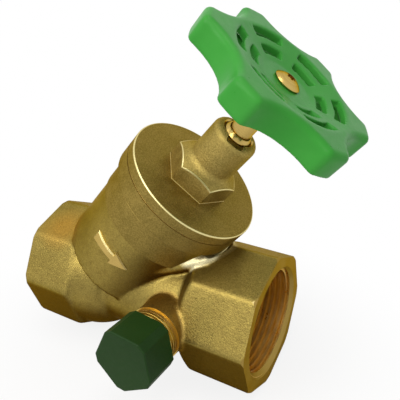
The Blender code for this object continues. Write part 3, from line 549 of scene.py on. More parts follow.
def join_loops(bm, loops):
    """Faces between equal loops of vertices, and one across each end."""
    count = len(loops[0])
    for lower, upper in zip(loops, loops[1:]):
        for i in range(count):
            j = (i + 1) % count
            bm.faces.new((lower[i], lower[j], upper[j], upper[i]))
    bm.faces.new(reversed(loops[0]))
    bm.faces.new(loops[-1])


def slab(name, outline, low, high, axis, turn=0.0, material=None):
    """A 2D outline extruded between two heights."""
    return loft(name, [(low, outline), (high, outline)], axis, turn, material)


def loft(name, layers, axis, turn=0.0, material=None):
    """A solid through outlines of equal length, given as (height, outline)."""
    bm = bmesh.new()
    spin = Matrix.Rotation(turn, 4, "Z")
    join_loops(bm, [[bm.verts.new(spin @ Vector((*p, z))) for p in outline]
                    for z, outline in layers])
    return new_object(name, bm, axis, material)


def soft_layers(outline_at, low, high, foot, top, steps=5):
    """Layers of an extrusion with a rounded foot and a rounded top edge."""
    layers = []
    for z, radius, sense in ((low, foot, 1), (high, top, -1)):
        turns = [math.pi / 2 * k / steps for k in range(steps + 1)] if radius else [math.pi / 2]
        edge = [(z + sense * radius * (1 - math.sin(a)), outline_at(radius * (1 - math.cos(a))))
                for a in turns]
        layers += edge[::-1] if sense > 0 else edge
    return layers


def polygon(sides, apothem, turn=0.0):
    """A regular outline; its first corner points at the turn."""
    radius = apothem / math.cos(math.pi / sides)
    return [polar(radius, turn + 2 * math.pi * i / sides) for i in range(sides)]


def bar(start, end, width):
    """The outline of a bar along X."""
    half = width / 2
    return [Vector(p) for p in ((start, -half), (end, -half), (end, half), (start, half))]


def settle(obj):
    """Apply the modifiers."""
    graph = bpy.context.evaluated_depsgraph_get()
    mesh = bpy.data.meshes.new_from_object(obj.evaluated_get(graph))
    obj.modifiers.clear()
    obj.data = mesh
    return obj


def boolean(obj, operation, *others, solver="MANIFOLD"):
    """Join, cut or intersect with other objects, which are used up."""
    for other in others:
        mod = obj.modifiers.new(other.name, "BOOLEAN")
        mod.operation = operation
        mod.solver = solver
        mod.material_mode = "TRANSFER"
        mod.object = other
        settle(obj)
        bpy.data.objects.remove(other)
    return obj


def bevel(obj, width, segments=3, angle=30, edge_wear_and_highlight=None):
    """Round the edges that are sharper than an angle, in a finish of their own."""
    mod = obj.modifiers.new("bevel", "BEVEL")
    mod.width = width
    mod.segments = segments
    mod.limit_method = "ANGLE"
    mod.angle_limit = math.radians(angle)
    if edge_wear_and_highlight:
        obj.data.materials.append(edge_wear_and_highlight)
        mod.material = len(obj.data.materials) - 1
    return settle(obj)


def skin(name, shells, grain, rounds, material):
    """One soft-edged skin round overlapping shells, which are used up."""
    bm = bmesh.new()
    for shell in shells:
        bm.from_mesh(shell.data)
        bpy.data.objects.remove(shell)
    for face in bm.faces:
        face.material_index = 0
    obj = new_object(name, bm, material=material)
    remesh = obj.modifiers.new("skin", "REMESH")
    remesh.mode = "VOXEL"
    remesh.voxel_size = grain
    smooth = obj.modifiers.new("soften", "SMOOTH")
    smooth.factor = 0.5
    smooth.iterations = rounds
    return settle(obj)


def thread_solid(name, radii, pitch, low, high, axis, steps=96, material=None):
    """A screw with trapezoid turns; radii are those of its root and crest."""
    bm = bmesh.new()
    flat = 0.12
    knots = [flat, 0.5 - flat, 0.5 + flat, 1 - flat]
    profile = [radii[0], radii[1], radii[1], radii[0]]
    rows = len(knots)
    turns = math.ceil((high - low) / pitch)
    rings = []
    for k in range(turns * rows):
        turn, knot = divmod(k, rows)
        rings.append([
            bm.verts.new((*polar(profile[knot], 2 * math.pi * j / steps),
                          low + pitch * (turn + knots[knot] + j / steps)))
            for j in range(steps)
        ])

    def vertex(k, j):
        return rings[k + rows * (j // steps)][j % steps]

    count = len(rings) - rows
    for k in range(count - 1):
        for j in range(steps):
            bm.faces.new((vertex(k, j), vertex(k, j + 1), vertex(k + 1, j + 1), vertex(k + 1, j)))
    used = {v for face in bm.faces for v in face.verts}
    bmesh.ops.delete(bm, geom=[v for v in bm.verts if v not in used], context="VERTS")
    bmesh.ops.holes_fill(bm, edges=[e for e in bm.edges if e.is_boundary])
    return new_object(name, bm, axis, material)


def coat(obj, material):
    """Give an object one material in place of any other."""
    obj.data.materials.clear()
    obj.data.materials.append(material)


def tie(obj, body, *nodes, angle=35):
    """Bake a piece into world metres, tie it to its body and hide the nodes."""
    mesh = obj.data
    mesh.transform(Matrix.Scale(MM, 4))
    mesh.shade_smooth()
    mesh.set_sharp_from_angle(angle=math.radians(angle))
    normals = obj.modifiers.new("normals", "WEIGHTED_NORMAL")
    normals.keep_sharp = True
    settle(obj)
    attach(obj, body)
    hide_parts(*nodes)
    return obj


# Body

def octagon_shell(name, face, outward, length, shoulder, rounds):
    """Octagonal socket with spare stock at its face and a turned shoulder."""
    inner = face - outward * length
    low, high = sorted((face + outward * SPARE, inner))
    shell = slab(name, polygon(OCTAGON_SIDES, OCTAGON_APOTHEM), low, high, PIPE)
    full, past = OCTAGON_R + CUT, face + outward * (SPARE + CUT)
    points = [(0, past), (full, past), (full, inner + outward * shoulder * full / OCTAGON_R),
              (FLARE_R, inner), (0, inner)]
    boolean(shell, "INTERSECT", lathe(name + "_limit", points, PIPE))
    return skin(name + "_soft", [shell], FORGE_GRAIN, rounds, FORGED)


def bead():
    """Cast bead where the branch leaves the outlet's octagon."""
    steps, around = 40, 16

    def on_octagon(theta):
        """The place on the octagon's surface at a turn round the branch."""
        low, high = BEAD_LOW[1] - BEAD_SEARCH, BEAD_HIGH[1] + BEAD_SEARCH
        for _ in range(HALVINGS):
            mid = (low + high) / 2
            share = (mid - BEAD_LOW[1]) / (BEAD_HIGH[1] - BEAD_LOW[1])
            radius = BEAD_LOW[0] + share * (BEAD_HIGH[0] - BEAD_LOW[0])
            place = BONNET @ Vector((*polar(radius, theta), mid))
            out = max(place.yz.dot(polar(1, 2 * math.pi * i / OCTAGON_SIDES))
                      for i in range(OCTAGON_SIDES))
            low, high = (mid, high) if out < OCTAGON_APOTHEM - BEAD_SINK else (low, mid)
        return place

    path = [on_octagon(BEAD_TURN * (2 * k / steps - 1)) for k in range(steps + 1)]
    bm = bmesh.new()
    rings = []
    for k, place in enumerate(path):
        along = (path[min(k + 1, steps)] - path[max(k - 1, 0)]).normalized()
        turn = turning_frame(place, along, BONNET_DIR.cross(along))
        rings.append([bm.verts.new(turn @ Vector((*polar(BEAD_R, 2 * math.pi * i / around), 0)))
                      for i in range(around)])
    join_loops(bm, rings)
    return new_object("bead", bm)


def flow_arrow():
    """Raised arrow on the branch that points the way the water flows."""
    def outline(grow):
        """The arrow's outline, grown on all sides."""
        half, shaft, head = ARROW_LENGTH / 2, ARROW_SHAFT_W / 2 + grow, ARROW_HEAD_W / 2 + grow
        neck, tip, tail = half - ARROW_HEAD_L - grow, half + grow, -half - grow
        return [Vector(p) for p in ((tail, -shaft), (neck, -shaft), (neck, -head), (tip, 0),
                                    (neck, head), (neck, shaft), (tail, shaft))]

    top = BRANCH_R + ARROW_PROUD
    layers = [(BRANCH_R - ARROW_ROOT, outline(ARROW_DRAFT * (ARROW_ROOT + ARROW_PROUD))),
              (top + CUT, outline(-ARROW_TRIM))]
    # the arrow's drafted sides are in the pale brass, wear and a painted highlight; its top takes
    # the polished brass of the limit
    arrow = loft("arrow", layers, turning_frame(
        BONNET @ Vector((0, 0, ARROW_S)),
        BONNET.to_3x3() @ Vector((*polar(1, ARROW_TURN), 0)),
        BONNET_DIR), material=WORN_AND_HIGHLIGHT)
    return boolean(arrow, "INTERSECT", rod("arrow_limit", top, S_BRANCH, S_COLLAR, BONNET,
                                           material=POLISHED))


def body_forging():
    """The forging: sockets, belly, run, branch, drain boss and arrow."""
    belly = arc((0, 0), BULGE_R, BULGE_START, BULGE_END, 16)
    run = [(0, BULGE_X - RUN_IN)] + [(p.y, BULGE_X + p.x) for p in belly]
    run += [(WAIST_R, WAIST_X), (WAIST_R + WAIST_RISE, WAIST_X + WAIST_L),
            (FLARE_R, FLARE_X + RUN_OUT), (0, FLARE_X + RUN_OUT)]
    shells = [
        lathe("run", run, PIPE),
        octagon_shell("inlet", X_INLET, -1, INLET_LENGTH, INLET_SHOULDER, INLET_ROUNDS),
        octagon_shell("outlet", X_OUTLET, 1, OUTLET_LENGTH, OUTLET_SHOULDER, OUTLET_ROUNDS),
        rod("branch", BRANCH_R, S_BRANCH, S_RIM + SPARE, BONNET),
        rod("boss", BOSS_R, 0, D_BOSS + SPARE, DRAIN),
        bead(),
    ]
    forging = skin("body_forging", shells, FORGE_GRAIN, FORGE_ROUNDS, FORGED)
    return boolean(forging, "UNION", flow_arrow())


def finish_cutters(cutters, finish):
    """Give cutters the turned finish that they leave on the cut."""
    for cutter in cutters:
        coat(cutter, TURNED[finish])
    return cutters


def socket_cutters(name, face, outward):
    """What the lathe takes from a socket: face, corners, mouth and thread."""
    deep, past = face - outward * SOCKET_DEPTH, face + outward * CUT
    low, high = sorted((face, face + outward * 3 * SPARE))
    plane = rod(name + "_face", 2 * OCTAGON_R, low, high, PIPE)
    relief = THREAD_ROOT_R + UNDERCUT
    bore = [(0, deep), (relief, deep), (relief, deep + outward * UNDERCUT_END),
            (THREAD_CREST_R, deep + outward * UNDERCUT_SLOPE), (THREAD_CREST_R, past), (0, past)]
    mouth = [(0, face - outward * MOUTH_R), (MOUTH_R + CUT, past), (0, past)]
    low, high = sorted((deep + outward * THREAD_START, face + outward * 2 * THREAD_PITCH))
    thread = thread_solid(name + "_thread", (THREAD_CREST_R - THREAD_SINK, THREAD_ROOT_R),
                          THREAD_PITCH, low, high, PIPE, FACETS)
    corner, wide = OCTAGON_R - END_CHAMFER, OCTAGON_R + 2 * CUT
    edge = [(corner, past), (wide, past), (wide, face - outward * 2 * END_FALL),
            (OCTAGON_R, face - outward * END_FALL), (corner - 0.1, face + outward * 0.1)]
    corner_cut = lathe(name + "_edge", edge, PIPE, closed=True)
    return (finish_cutters([plane, corner_cut, lathe(name + "_mouth", mouth, PIPE)], "face")
            + finish_cutters([lathe(name + "_bore", bore, PIPE), thread], "pipe"))


def waterways():
    """Cutters of the two bores, which stop at the slanted web."""
    inlet = rod("inlet_way", BORE_R, X_INLET - CUT, X_OUTLET, PIPE)
    below = rod("below", WIDE, SEAT_S - WEB - WIDE, SEAT_S - WEB, BONNET)
    outlet = rod("outlet_way", BORE_R, 0, X_OUTLET + CUT, PIPE)
    above = rod("above", WIDE, SEAT_S, SEAT_S + WIDE, BONNET)
    return finish_cutters([boolean(inlet, "INTERSECT", below),
                           boolean(outlet, "INTERSECT", above)], "pipe")


def branch_cutters():
    """What is turned on the branch: rim, flange room, chamber and seat."""
    rim = rounded([(0, S_RIM), (RELIEF_R, S_RIM, RELIEF_ROUND), (RELIEF_R, S_NECK), (0, S_NECK)])
    low, lip, past = S_RIM - BONNET_THREAD_DEPTH, SEAT_S - SEAT_LIP, S_RIM + CUT
    chamber = [(0, SEAT_S), (SEAT_R, SEAT_S), (SEAT_R, lip), (CHAMBER_R, lip), (CHAMBER_R, low),
               (BONNET_THREAD_R, low), (BONNET_THREAD_R, past), (0, past)]
    # the relief is in the pale brass, a painted highlight that lightens its shaded channel
    return [lathe("relief", rim, BONNET, material=WORN_AND_HIGHLIGHT)] + finish_cutters([
        lathe("chamber", chamber, BONNET),
        rod("seat_hole", SEAT_BORE_R, SEAT_S - WEB - CUT, SEAT_S + CUT, BONNET),
    ], "bonnet")


def body():
    """Forged body, machined where the real one is."""
    obj = body_forging()
    collar = ring("collar", 0.9 * BRANCH_R, COLLAR_R, S_COLLAR, S_RIM - NUDGE, BONNET,
                  COLLAR_EDGE, TURNED["bonnet"])
    low, past = D_BOSS - DRAIN_THREAD_DEPTH, D_BOSS + CUT
    port = [(0, D_PORT), (DRAIN_PORT_R, D_PORT), (DRAIN_PORT_R, low), (DRAIN_THREAD_R, low),
            (DRAIN_THREAD_R, past), (0, past)]
    drain = [rod("boss_face", 2 * BOSS_R, D_BOSS, D_BOSS + 3 * SPARE, DRAIN),
             lathe("port", port, DRAIN)]
    relief, chamber, hole = branch_cutters()
    boolean(obj, "DIFFERENCE", relief)
    boolean(obj, "UNION", collar)
    boolean(obj, "DIFFERENCE", *finish_cutters(drain, "drain"), *waterways(), chamber, hole)
    boolean(obj, "DIFFERENCE", *socket_cutters("inlet", X_INLET, -1))
    boolean(obj, "DIFFERENCE", *socket_cutters("outlet", X_OUTLET, 1))
    obj.name = "forged_body"
    return tie(obj, "housing", "body")


# Bonnet, its seals and the stem

def hex_cone(radius):
    """Height of the cone that tops the hexagon and runs into the neck."""
    corner = HEX_AF / 2 / math.cos(math.pi / 6)
    return S_NECK - HEX_DROP + math.tan(HEX_SLOPE) * (corner - radius)


def under_cone(name, shift, material):
    """Everything below the hexagon's cone, moved along the axis."""
    wide, low = HEX_AF, S_HEX - 2 * CUT
    points = [(0, hex_cone(0)), (wide, hex_cone(wide)), (wide, low), (0, low)]
    return lathe(name, [(r, z + shift) for r, z in points], BONNET, material=material)


def hex_prism(name, grow, high, material):
    """Prism of the hexagon from below the flange's face up to a height."""
    outline = polygon(6, HEX_AF / 2 + grow)
    return slab(name, outline, S_HEX - CUT, high, BONNET, HEX_TURN, material)


def hexagon():
    """Spanner hexagon under a cone, with a pale plinth and lip that paint highlights on its foot
    and top edges.
    """
    solid = hex_prism("hexagon", 0, hex_cone(0), TURNED["neck"])
    boolean(solid, "INTERSECT", under_cone("hexagon_limit", 0, TURNED["neck"]))
    # a thin shell of pale brass along the top edges: a painted highlight
    lip = hex_prism("lip", HEX_LIP / 4, hex_cone(0), WORN_AND_HIGHLIGHT)
    boolean(lip, "INTERSECT", under_cone("lip_top", HEX_LIP / 6, WORN_AND_HIGHLIGHT))
    boolean(lip, "DIFFERENCE", under_cone("lip_foot", -HEX_LIP, WORN_AND_HIGHLIGHT),
            hex_prism("lip_inside", -HEX_LIP, hex_cone(0) + CUT, WORN_AND_HIGHLIGHT))
    # a pale step at the foot: a painted highlight
    plinth = hex_prism("plinth", HEX_PLINTH, S_HEX + HEX_PLINTH, WORN_AND_HIGHLIGHT)
    return boolean(solid, "UNION", lip, bevel(plinth, HEX_PLINTH / 2))


def bonnet():
    """Turned flange and forged neck with hexagon, recess and spanner slot."""
    foot_r = NECK_R + NECK_FOOT
    neck = [
        (0, S_TOP), (NECK_R, S_TOP, NECK_ROUND), (NECK_R, hex_cone(NECK_R), NECK_FILLET),
        (foot_r, hex_cone(foot_r) + FOOT_RISE), (foot_r, S_HEX - CUT), (0, S_HEX - CUT),
    ]
    cover = [
        (0, S_HEX), (FLANGE_R, S_HEX), (FLANGE_R, S_FLANGE, FLANGE_FOOT),
        (SKIRT_R, S_FLANGE), (SKIRT_R, S_SKIRT, SKIRT_EDGE), (0, S_SKIRT),
    ]
    obj = lathe("cover", rounded(cover), BONNET, material=TURNED["bonnet"])
    # the flange's edges are rounded in the pale brass: edge wear and a painted highlight line
    boolean(bevel(obj, FLANGE_EDGE, angle=60, edge_wear_and_highlight=WORN_AND_HIGHLIGHT), "UNION",
            lathe("neck", rounded(neck), BONNET, material=TURNED["neck"]), hexagon())
    groove_s = S_FLANGE + GROOVE_SHARE * FLANGE_T
    boolean(obj, "DIFFERENCE", ring("groove", FLANGE_R - GROOVE_D, FLANGE_R + CUT,
                                    groove_s - GROOVE_W / 2, groove_s + GROOVE_W / 2, BONNET,
                                    0.1, TURNED["face"]))
    way, nut_bore, wall = STEM_R + CLEAR, STEM_THREAD_R + CLEAR, SKIRT_R - SKIRT_WALL
    stop, roof = S_STEM_THREAD_END + CLEAR, S_FLANGE + DOME_H
    bore = [
        (0, S_TOP + CUT), (NECK_MOUTH_R + NECK_MOUTH_C + CUT, S_TOP + CUT),
        (NECK_MOUTH_R, S_TOP - NECK_MOUTH_C), (NECK_MOUTH_R, S_TOP - NECK_LIP),
        (PACKING_R, S_TOP - NECK_LIP), (PACKING_R, S_PACKING), (way, S_PACKING), (way, stop),
        (nut_bore, stop), (nut_bore, roof - NUT_DROP), (NUT_R, roof - NUT_DROP), (NUT_R, roof),
        (wall, roof), (wall, S_SKIRT - CUT), (0, S_SKIRT - CUT),
    ]
    slot = slab("slot", bar(-2 * NECK_R, 2 * NECK_R, NECK_SLOT_W), S_TOP - NECK_SLOT_D,
                S_TOP + NECK_SLOT_D, BONNET, NECK_SLOT_TURN)
    boolean(obj, "DIFFERENCE", lathe("bore", bore, BONNET, material=POLISHED),
            bevel(slot, NECK_SLOT_ROUND))
    return tie(obj, "housing", "bonnet")


def seals():
    """Smooth rings for the gaskets, packing and O-rings of the frame."""
    for node, axis, finish, edge, rider in (
            ("bonnet_gasket", BONNET, FIBRE, 0.2, "housing"),
            ("packing_ring", BONNET, PTFE, 0.3, "housing"),
            ("gland_washer", BONNET, POLISHED, 0.15, "housing"),
            ("gland_o_ring", BONNET, RUBBER, 0.5, "housing"),
            ("drain_gasket", DRAIN, COPPER, 0.05, "housing"),
            ("drain_o_ring", DRAIN, RUBBER, 0.4, "needle_slide"),
            ("cap_seal", DRAIN, RUBBER, 0.2, "cap_slide"),
            ("plug_seal", BONNET, RUBBER, 0.4, "plug"),
            ("plug_washer", BONNET, POLISHED, 0.2, "plug")):
        low, high, outer, inner = reach(node, axis)
        if node.endswith("gasket"):
            low, high = low - SQUEEZE, high + SQUEEZE
        edge = min(edge, (high - low) / 2.2, (outer - inner) / 2.2)
        tie(ring(node + "_ring", inner, outer, low, high, axis, edge, finish), rider, node)


def gland():
    """Gland screw with a polished nose round the stem."""
    low, high, outer, inner = reach("gland_screw", BONNET)
    nose = S_TOP + NOSE_H
    profile = [(outer, high, 0.2), (outer, low, 0.3), (inner, low), (inner, nose),
               (inner + NOSE_RIM, nose, 0.15), (NOSE_R, S_TOP - NECK_MOUTH_C, 0.4), (NOSE_R, high)]
    obj = lathe("gland", rounded(profile, 4, True), BONNET, closed=True, material=POLISHED)
    return tie(obj, "housing", "gland_screw")


def stem():
    """Polished stem with its threaded shank, tip and wheel square."""
    thread_end = S_STEM_THREAD_END
    thread_start = thread_end - STEM_THREAD_LENGTH
    core = STEM_THREAD_R - STEM_THREAD_D
    inside = SQUARE_AF / 2 - 0.2
    profile = [
        (0, S_STEM_HIGH), (inside, S_STEM_HIGH), (inside, S_SQUARE),
        (STEM_R, S_SQUARE, 0.3), (STEM_R, thread_end), (core, thread_end), (core, thread_start),
        (core, S_STEM_LOW, 0.5), (0, S_STEM_LOW),
    ]
    obj = lathe("spindle_stem", rounded(profile), BONNET, False, STEM_FACETS, POLISHED)
    thread = thread_solid("stem_thread", (core - 0.1, STEM_THREAD_R), STEM_THREAD_PITCH,
                          thread_start - CUT, thread_end + CUT, BONNET, 64, POLISHED)
    limit = rod("stem_limit", 2 * STEM_THREAD_R, thread_start, thread_end, BONNET)
    boolean(obj, "UNION", boolean(thread, "INTERSECT", limit))
    square = slab("square", polygon(4, SQUARE_AF / 2), S_SQUARE - CUT, S_STEM_HIGH, BONNET,
                  WHEEL_TURN, POLISHED)
    boolean(obj, "UNION", bevel(square, SQUARE_EDGE))
    hole = rod("stem_hole", SCREW_R + CLEAR, S_STEM_HIGH - SCREW_HOLE_D, S_STEM_HIGH + CUT, BONNET)
    boolean(obj, "DIFFERENCE", hole)
    return tie(obj, "spindle", "stem")


# Handwheel

def lobe_outline(inset=0.0):
    """Outline of the handwheel, moved inwards by a wall or a rounding."""
    outer, scallop = WHEEL_R - inset, SCALLOP_R + inset
    corner = max(LOBE_ROUND - inset, LOBE_LEAST)
    far = SCALLOP_WAIST + SCALLOP_R             # centre of a scallop
    a, b = outer - corner, scallop + corner     # centre of a corner's arc
    swing = math.acos((a * a + far * far - b * b) / (2 * a * far))
    lean = math.asin(a * math.sin(swing) / b)
    half = math.pi / LOBES - swing
    points = []
    for lobe in range(LOBES):
        mid = WHEEL_TURN + 2 * math.pi * lobe / LOBES
        dip = mid + math.pi / LOBES
        points += arc((0, 0), outer, mid - half, mid + half, 8)
        points += arc(polar(a, dip - swing), corner, dip - swing, dip + lean, 8)[1:]
        points += arc(polar(far, dip), scallop, dip + math.pi + lean, dip + math.pi - lean, 24)[1:]
        points += arc(polar(a, dip + swing), corner, dip - lean, dip + swing, 8)[1:-1]
    return points


def dish(name, drop):
    """Conical sink of the handwheel's centre, lowered by a wall or not."""
    level = S_WHEEL - drop
    wide = DISH_R + DISH_RIM
    profile = [(0, level - DISH_D), (HUB_R, level - DISH_D, DISH_FOOT_ROUND),
               (DISH_R, level + NUDGE, DISH_TOP_ROUND), (wide, level + NUDGE),
               (wide, level + DISH_TOP), (0, level + DISH_TOP)]
    return lathe(name, rounded(profile, 8), BONNET)


def handwheel():
    """Moulded wheel: rounded shell, sunk slotted centre, hub and ribs."""
    foot, top = S_WHEEL - WHEEL_H, S_WHEEL
    shell = loft("wheel", soft_layers(lobe_outline, foot, top, WHEEL_FOOT, WHEEL_EDGE), BONNET)
    hollow = slab("hollow", lobe_outline(WHEEL_WALL), foot - CUT, top - WHEEL_WALL, BONNET)
    boolean(hollow, "DIFFERENCE", dish("plate_below", WHEEL_WALL))
    boolean(shell, "DIFFERENCE", hollow, dish("dish", 0))
    plate = top - DISH_D - CUT      # inside the sunk centre
    rib = bar(HUB_R - 3 * HUB_DRAFT, SCALLOP_WAIST - WHEEL_WALL / 2, RIB_T)
    ribs = [slab("rib_%d" % i, rib, foot + RIB_FOOT, plate, BONNET,
                 WHEEL_TURN + (2 * i + 1) * math.pi / LOBES) for i in range(LOBES)]
    hub = lathe("hub", rounded([(0, plate), (HUB_R - HUB_DRAFT, plate),
                                (HUB_R - 2 * HUB_DRAFT, S_WHEEL_LOW, 0.6),
                                (0, S_WHEEL_LOW)]), BONNET)
    obj = boolean(shell, "UNION", hub, *ribs)
    for i, (near, away) in enumerate(SLOT_RINGS):
        for lobe in range(LOBES):
            mid = WHEEL_TURN + 2 * math.pi * lobe / LOBES
            start, end = mid - SLOT_SPREAD / 2, mid + SLOT_SPREAD / 2
            outline = arc((0, 0), away, start, end, 12) + arc((0, 0), near, end, start, 12)
            boolean(obj, "DIFFERENCE", slab("slot_%d_%d" % (i, lobe), outline,
                                            foot - CUT, top + CUT, BONNET))
    square = slab("hub_square", polygon(4, SQUARE_AF / 2 + CLEAR), S_WHEEL_LOW - CUT,
                  top - DISH_D - HUB_WEB, BONNET, WHEEL_TURN)
    boolean(obj, "DIFFERENCE", square, rod("hub_hole", SCREW_R + CLEAR, S_WHEEL_LOW, top, BONNET))
    obj = skin("moulded_handwheel", [obj], MOULD_GRAIN, MOULD_ROUNDS, GREEN)
    return tie(obj, "spindle", "handwheel", angle=80)


def wheel_screw():
    """Domed screw with a star recess that holds the handwheel."""
    low, high, head, _ = reach("handwheel_screw", BONNET)
    seat = high - SCREW_HEAD_H
    rise = SCREW_HEAD_H - SCREW_RIM
    dome_r = (head * head + rise * rise) / (2 * rise)
    lean = math.asin(head / dome_r)
    dome = [(p.x, p.y) for p in arc((0, high - dome_r), dome_r, math.pi / 2,
                                    math.pi / 2 - lean, 10)]
    dome[0] = (0, high)
    profile = dome + [(head - 0.1, seat), (SCREW_R, seat), (SCREW_R, low), (0, low)]
    obj = lathe("wheel_screw", profile, BONNET, False, STEM_FACETS, POLISHED)
    star = [polar(SCREW_RECESS_R * (1 + STAR_WAVE * math.cos(STAR_POINTS * a)), a)
            for a in (2 * math.pi * k / 72 for k in range(72))]
    boolean(obj, "DIFFERENCE", slab("recess", star, high - SCREW_RECESS_D, high + CUT, BONNET))
    return tie(obj, "spindle", "handwheel_screw")


# Drain

def drain_body():
    """Turned fitting with a grooved collar and the nipple under the cap."""
    high = D_CAP - CLEAR
    mid, half = (D_COLLAR + high) / 2, COLLAR_GROOVE / 2
    deep = DRAIN_COLLAR_R - COLLAR_GROOVE
    thread_r = DRAIN_THREAD_R - 2 * CLEAR
    bore = reach("drain_body", DRAIN)[3]
    profile = [
        (NIPPLE_R, D_NIPPLE_END, 0.4), (NIPPLE_R, high), (DRAIN_COLLAR_R, high, 0.3),
        (DRAIN_COLLAR_R, mid + half, 0.1), (deep, mid + half), (deep, mid - half),
        (DRAIN_COLLAR_R, mid - half, 0.1), (DRAIN_COLLAR_R, D_COLLAR, 0.25),
        (thread_r, D_COLLAR), (thread_r, D_DRAIN_LOW, 0.4), (bore, D_DRAIN_LOW),
        (bore, high), (NIPPLE_RECESS_R, high), (NIPPLE_RECESS_R, D_NIPPLE_END),
    ]
    obj = lathe("drain_fitting", rounded(profile, 4, True), DRAIN, closed=True,
                material=TURNED["drain"])
    return tie(obj, "housing", "drain_body")


def cap_outline(inset=0.0):
    """Pentagon with its corners cut flat, all corners slightly rounded."""
    apothems = (CAP_APOTHEM, CAP_CUT_APOTHEM)
    step = math.pi / CAP_SIDES
    corners = []
    for side in range(2 * CAP_SIDES):
        here = CAP_TURN + step * side
        first, second = apothems[side % 2] - inset, apothems[1 - side % 2] - inset
        along = (second - first * math.cos(step)) / math.sin(step)
        point = polar(first, here) + polar(along, here + math.pi / 2)
        corners.append((*point, max(CAP_CORNER - inset / 2, CAP_CORNER_LEAST)))
    return rounded(corners, 4, True)


def drain_cap():
    """Dark green cap with bevelled corners and a round bore."""
    layers = soft_layers(cap_outline, D_CAP, D_CAP_END, CAP_FOOT, CAP_EDGE)
    obj = loft("moulded_cap", layers, DRAIN, material=DARK_GREEN)
    bore = rod("cap_bore", NIPPLE_R + CLEAR, D_CAP - CUT, D_CAP_END - CAP_END, DRAIN,
               material=DARK_GREEN)
    return tie(boolean(obj, "DIFFERENCE", bore), "cap", "drain_cap")


# The camera of the photograph
CAMERA_AZIMUTH = math.radians(29.07)
CAMERA_ELEVATION = math.radians(21.62)
CAMERA_ROLL = math.radians(1.6)
CAMERA_AT = Vector((126.97, -149.22, 109.67)) * MM
CAMERA_LENS, CAMERA_SENSOR = 44.43, 36
CAMERA_CLIP = (0.01, 10)


def direction(azimuth, elevation):
    """Unit vector to an azimuth, which turns from -Y to +X, and an elevation."""
    return Vector((math.sin(azimuth) * math.cos(elevation),
                   -math.cos(azimuth) * math.cos(elevation), math.sin(elevation)))


def set_camera():
    """Place the camera as the photographer did."""
    back = direction(CAMERA_AZIMUTH, CAMERA_ELEVATION)
    right = (-back).cross(Vector((0, 0, 1))).normalized()
    up = right.cross(-back)
    across, along = math.cos(CAMERA_ROLL), math.sin(CAMERA_ROLL)
    tilted, upright = across * right + along * up, across * up - along * right
    data = bpy.data.cameras.new("camera")
    data.lens = CAMERA_LENS
    data.sensor_width = CAMERA_SENSOR
    data.clip_start, data.clip_end = CAMERA_CLIP
    camera = bpy.data.objects.new("camera", data)
    camera.matrix_world = (
        Matrix.Translation(CAMERA_AT)
        @ Matrix((tilted, upright, back)).transposed().to_4x4()
    )
    scene.collection.objects.link(camera)
    scene.camera = camera


# Studio
LAMPS = (   # name, azimuth and elevation in degrees, distance, size, watts, colour
    ("key", -21, 30, 0.55, 0.28, 1.0, (1.0, 0.98, 0.94)),
    ("top", 40, 76, 0.60, 0.35, 1.2, (1.0, 0.97, 0.92)),
    ("front", 14, 36, 0.60, 0.26, 0.9, (1.0, 0.97, 0.92)),
    ("left", -48, 50, 0.60, 0.30, 0.2, (1.0, 0.98, 0.94)),
)
WORLD_LIGHT = 0.30
FLOOR_FADE = (40, 130)      # mm from the middle: real shade, plain white
FLOOR_WHITE = 0.84          # least share of white that the camera sees
FLOOR_MIRRORED = 0.08       # the same in the metal
FLOOR_SIZE = 3              # metres from the middle to each side
PAPER, WHITE = (0.9, 0.9, 0.9, 1), (1, 1, 1, 1)


def seen_share(tree, mirrored=1.0):
    """1 for camera rays, a share for glossy and transmission rays, or 0."""
    path = add_node(tree, "ShaderNodeLightPath").outputs
    bent = combine(tree, "MAXIMUM", path["Is Glossy Ray"], path["Is Transmission Ray"])
    share = combine(tree, "MULTIPLY", bent, mirrored)
    return combine(tree, "MAXIMUM", path["Is Camera Ray"], share)


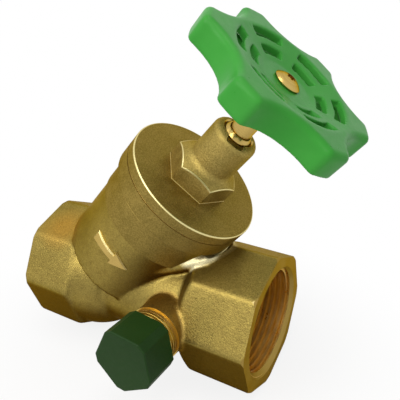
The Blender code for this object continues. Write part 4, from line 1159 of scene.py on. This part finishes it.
def floor_paper(middle):
    """White paper: shaded near the object, plain white further out."""
    material, tree, shader = start_material("floor_paper")
    where = place_in(tree, PIPE)
    feed(tree, shader, {
        "Base Color": PAPER, "Normal": bump(tree, noise(tree, where, 0.8, 2.0), 0.01),
        "Roughness": 0.9, "Specular IOR Level": 0.1,
    })
    near = spread(tree, seen_share(tree, FLOOR_MIRRORED / FLOOR_WHITE), 0.0, FLOOR_WHITE, 0.0, 1.0)
    share = add_node(tree, "ShaderNodeMapRange", {
        "Value": apart_from(tree, where, middle / MM), "From Min": FLOOR_FADE[0],
        "From Max": FLOOR_FADE[1], "To Min": near, "To Max": seen_share(tree),
    }, interpolation_type="SMOOTHSTEP").outputs["Result"]
    glow = add_node(tree, "ShaderNodeEmission", {"Color": WHITE, "Strength": 1.0})
    mix = add_node(tree, "ShaderNodeMixShader", {
        0: share, 1: shader.outputs["BSDF"], 2: glow.outputs["Emission"]})
    feed(tree, tree.nodes["Material Output"], {"Surface": mix.outputs["Shader"]})
    return material


def studio():
    """Pale floor, white surroundings and soft lamps."""
    scene.view_settings.view_transform = "Standard"
    middle = (cad_box[0] + cad_box[1]) / 2
    low = cad_box[0].z - NUDGE * MM
    bm = bmesh.new()
    bmesh.ops.create_grid(bm, x_segments=8, y_segments=8, size=FLOOR_SIZE,
                          matrix=Matrix.Translation((0, 0, low)))
    floor = new_object("floor", bm, material=floor_paper(Vector((middle.x, middle.y, low))))

    world = bpy.data.worlds.new("studio")
    scene.world = world
    world.use_nodes = True
    tree = world.node_tree
    strength = spread(tree, seen_share(tree), WORLD_LIGHT, 1.0, 0.0, 1.0)
    feed(tree, tree.nodes["Background"], {"Color": WHITE, "Strength": strength})

    for name, azimuth, elevation, distance, size, watts, colour in LAMPS:
        away = direction(math.radians(azimuth), math.radians(elevation))
        data = bpy.data.lights.new(name, "AREA")
        data.shape = "DISK"
        data.size = size
        data.energy = watts
        data.color = colour
        lamp = bpy.data.objects.new(name, data)
        lamp.location = middle + away * distance
        lamp.rotation_euler = away.to_track_quat("Z", "Y").to_euler()
        scene.collection.objects.link(lamp)


def finish_cad_nodes():
    """Materials for the CAD solids that are shown as they are."""
    for node, finish in (("plug_holder", TURNED["bonnet"]), ("plug_clip", STEEL),
                         ("plug_nut", POLISHED), ("drain_spindle", TURNED["drain"])):
        coat(NODES[node], finish)


body()
bonnet()
seals()
gland()
stem()
handwheel()
wheel_screw()
drain_body()
drain_cap()
finish_cad_nodes()
set_camera()
studio()
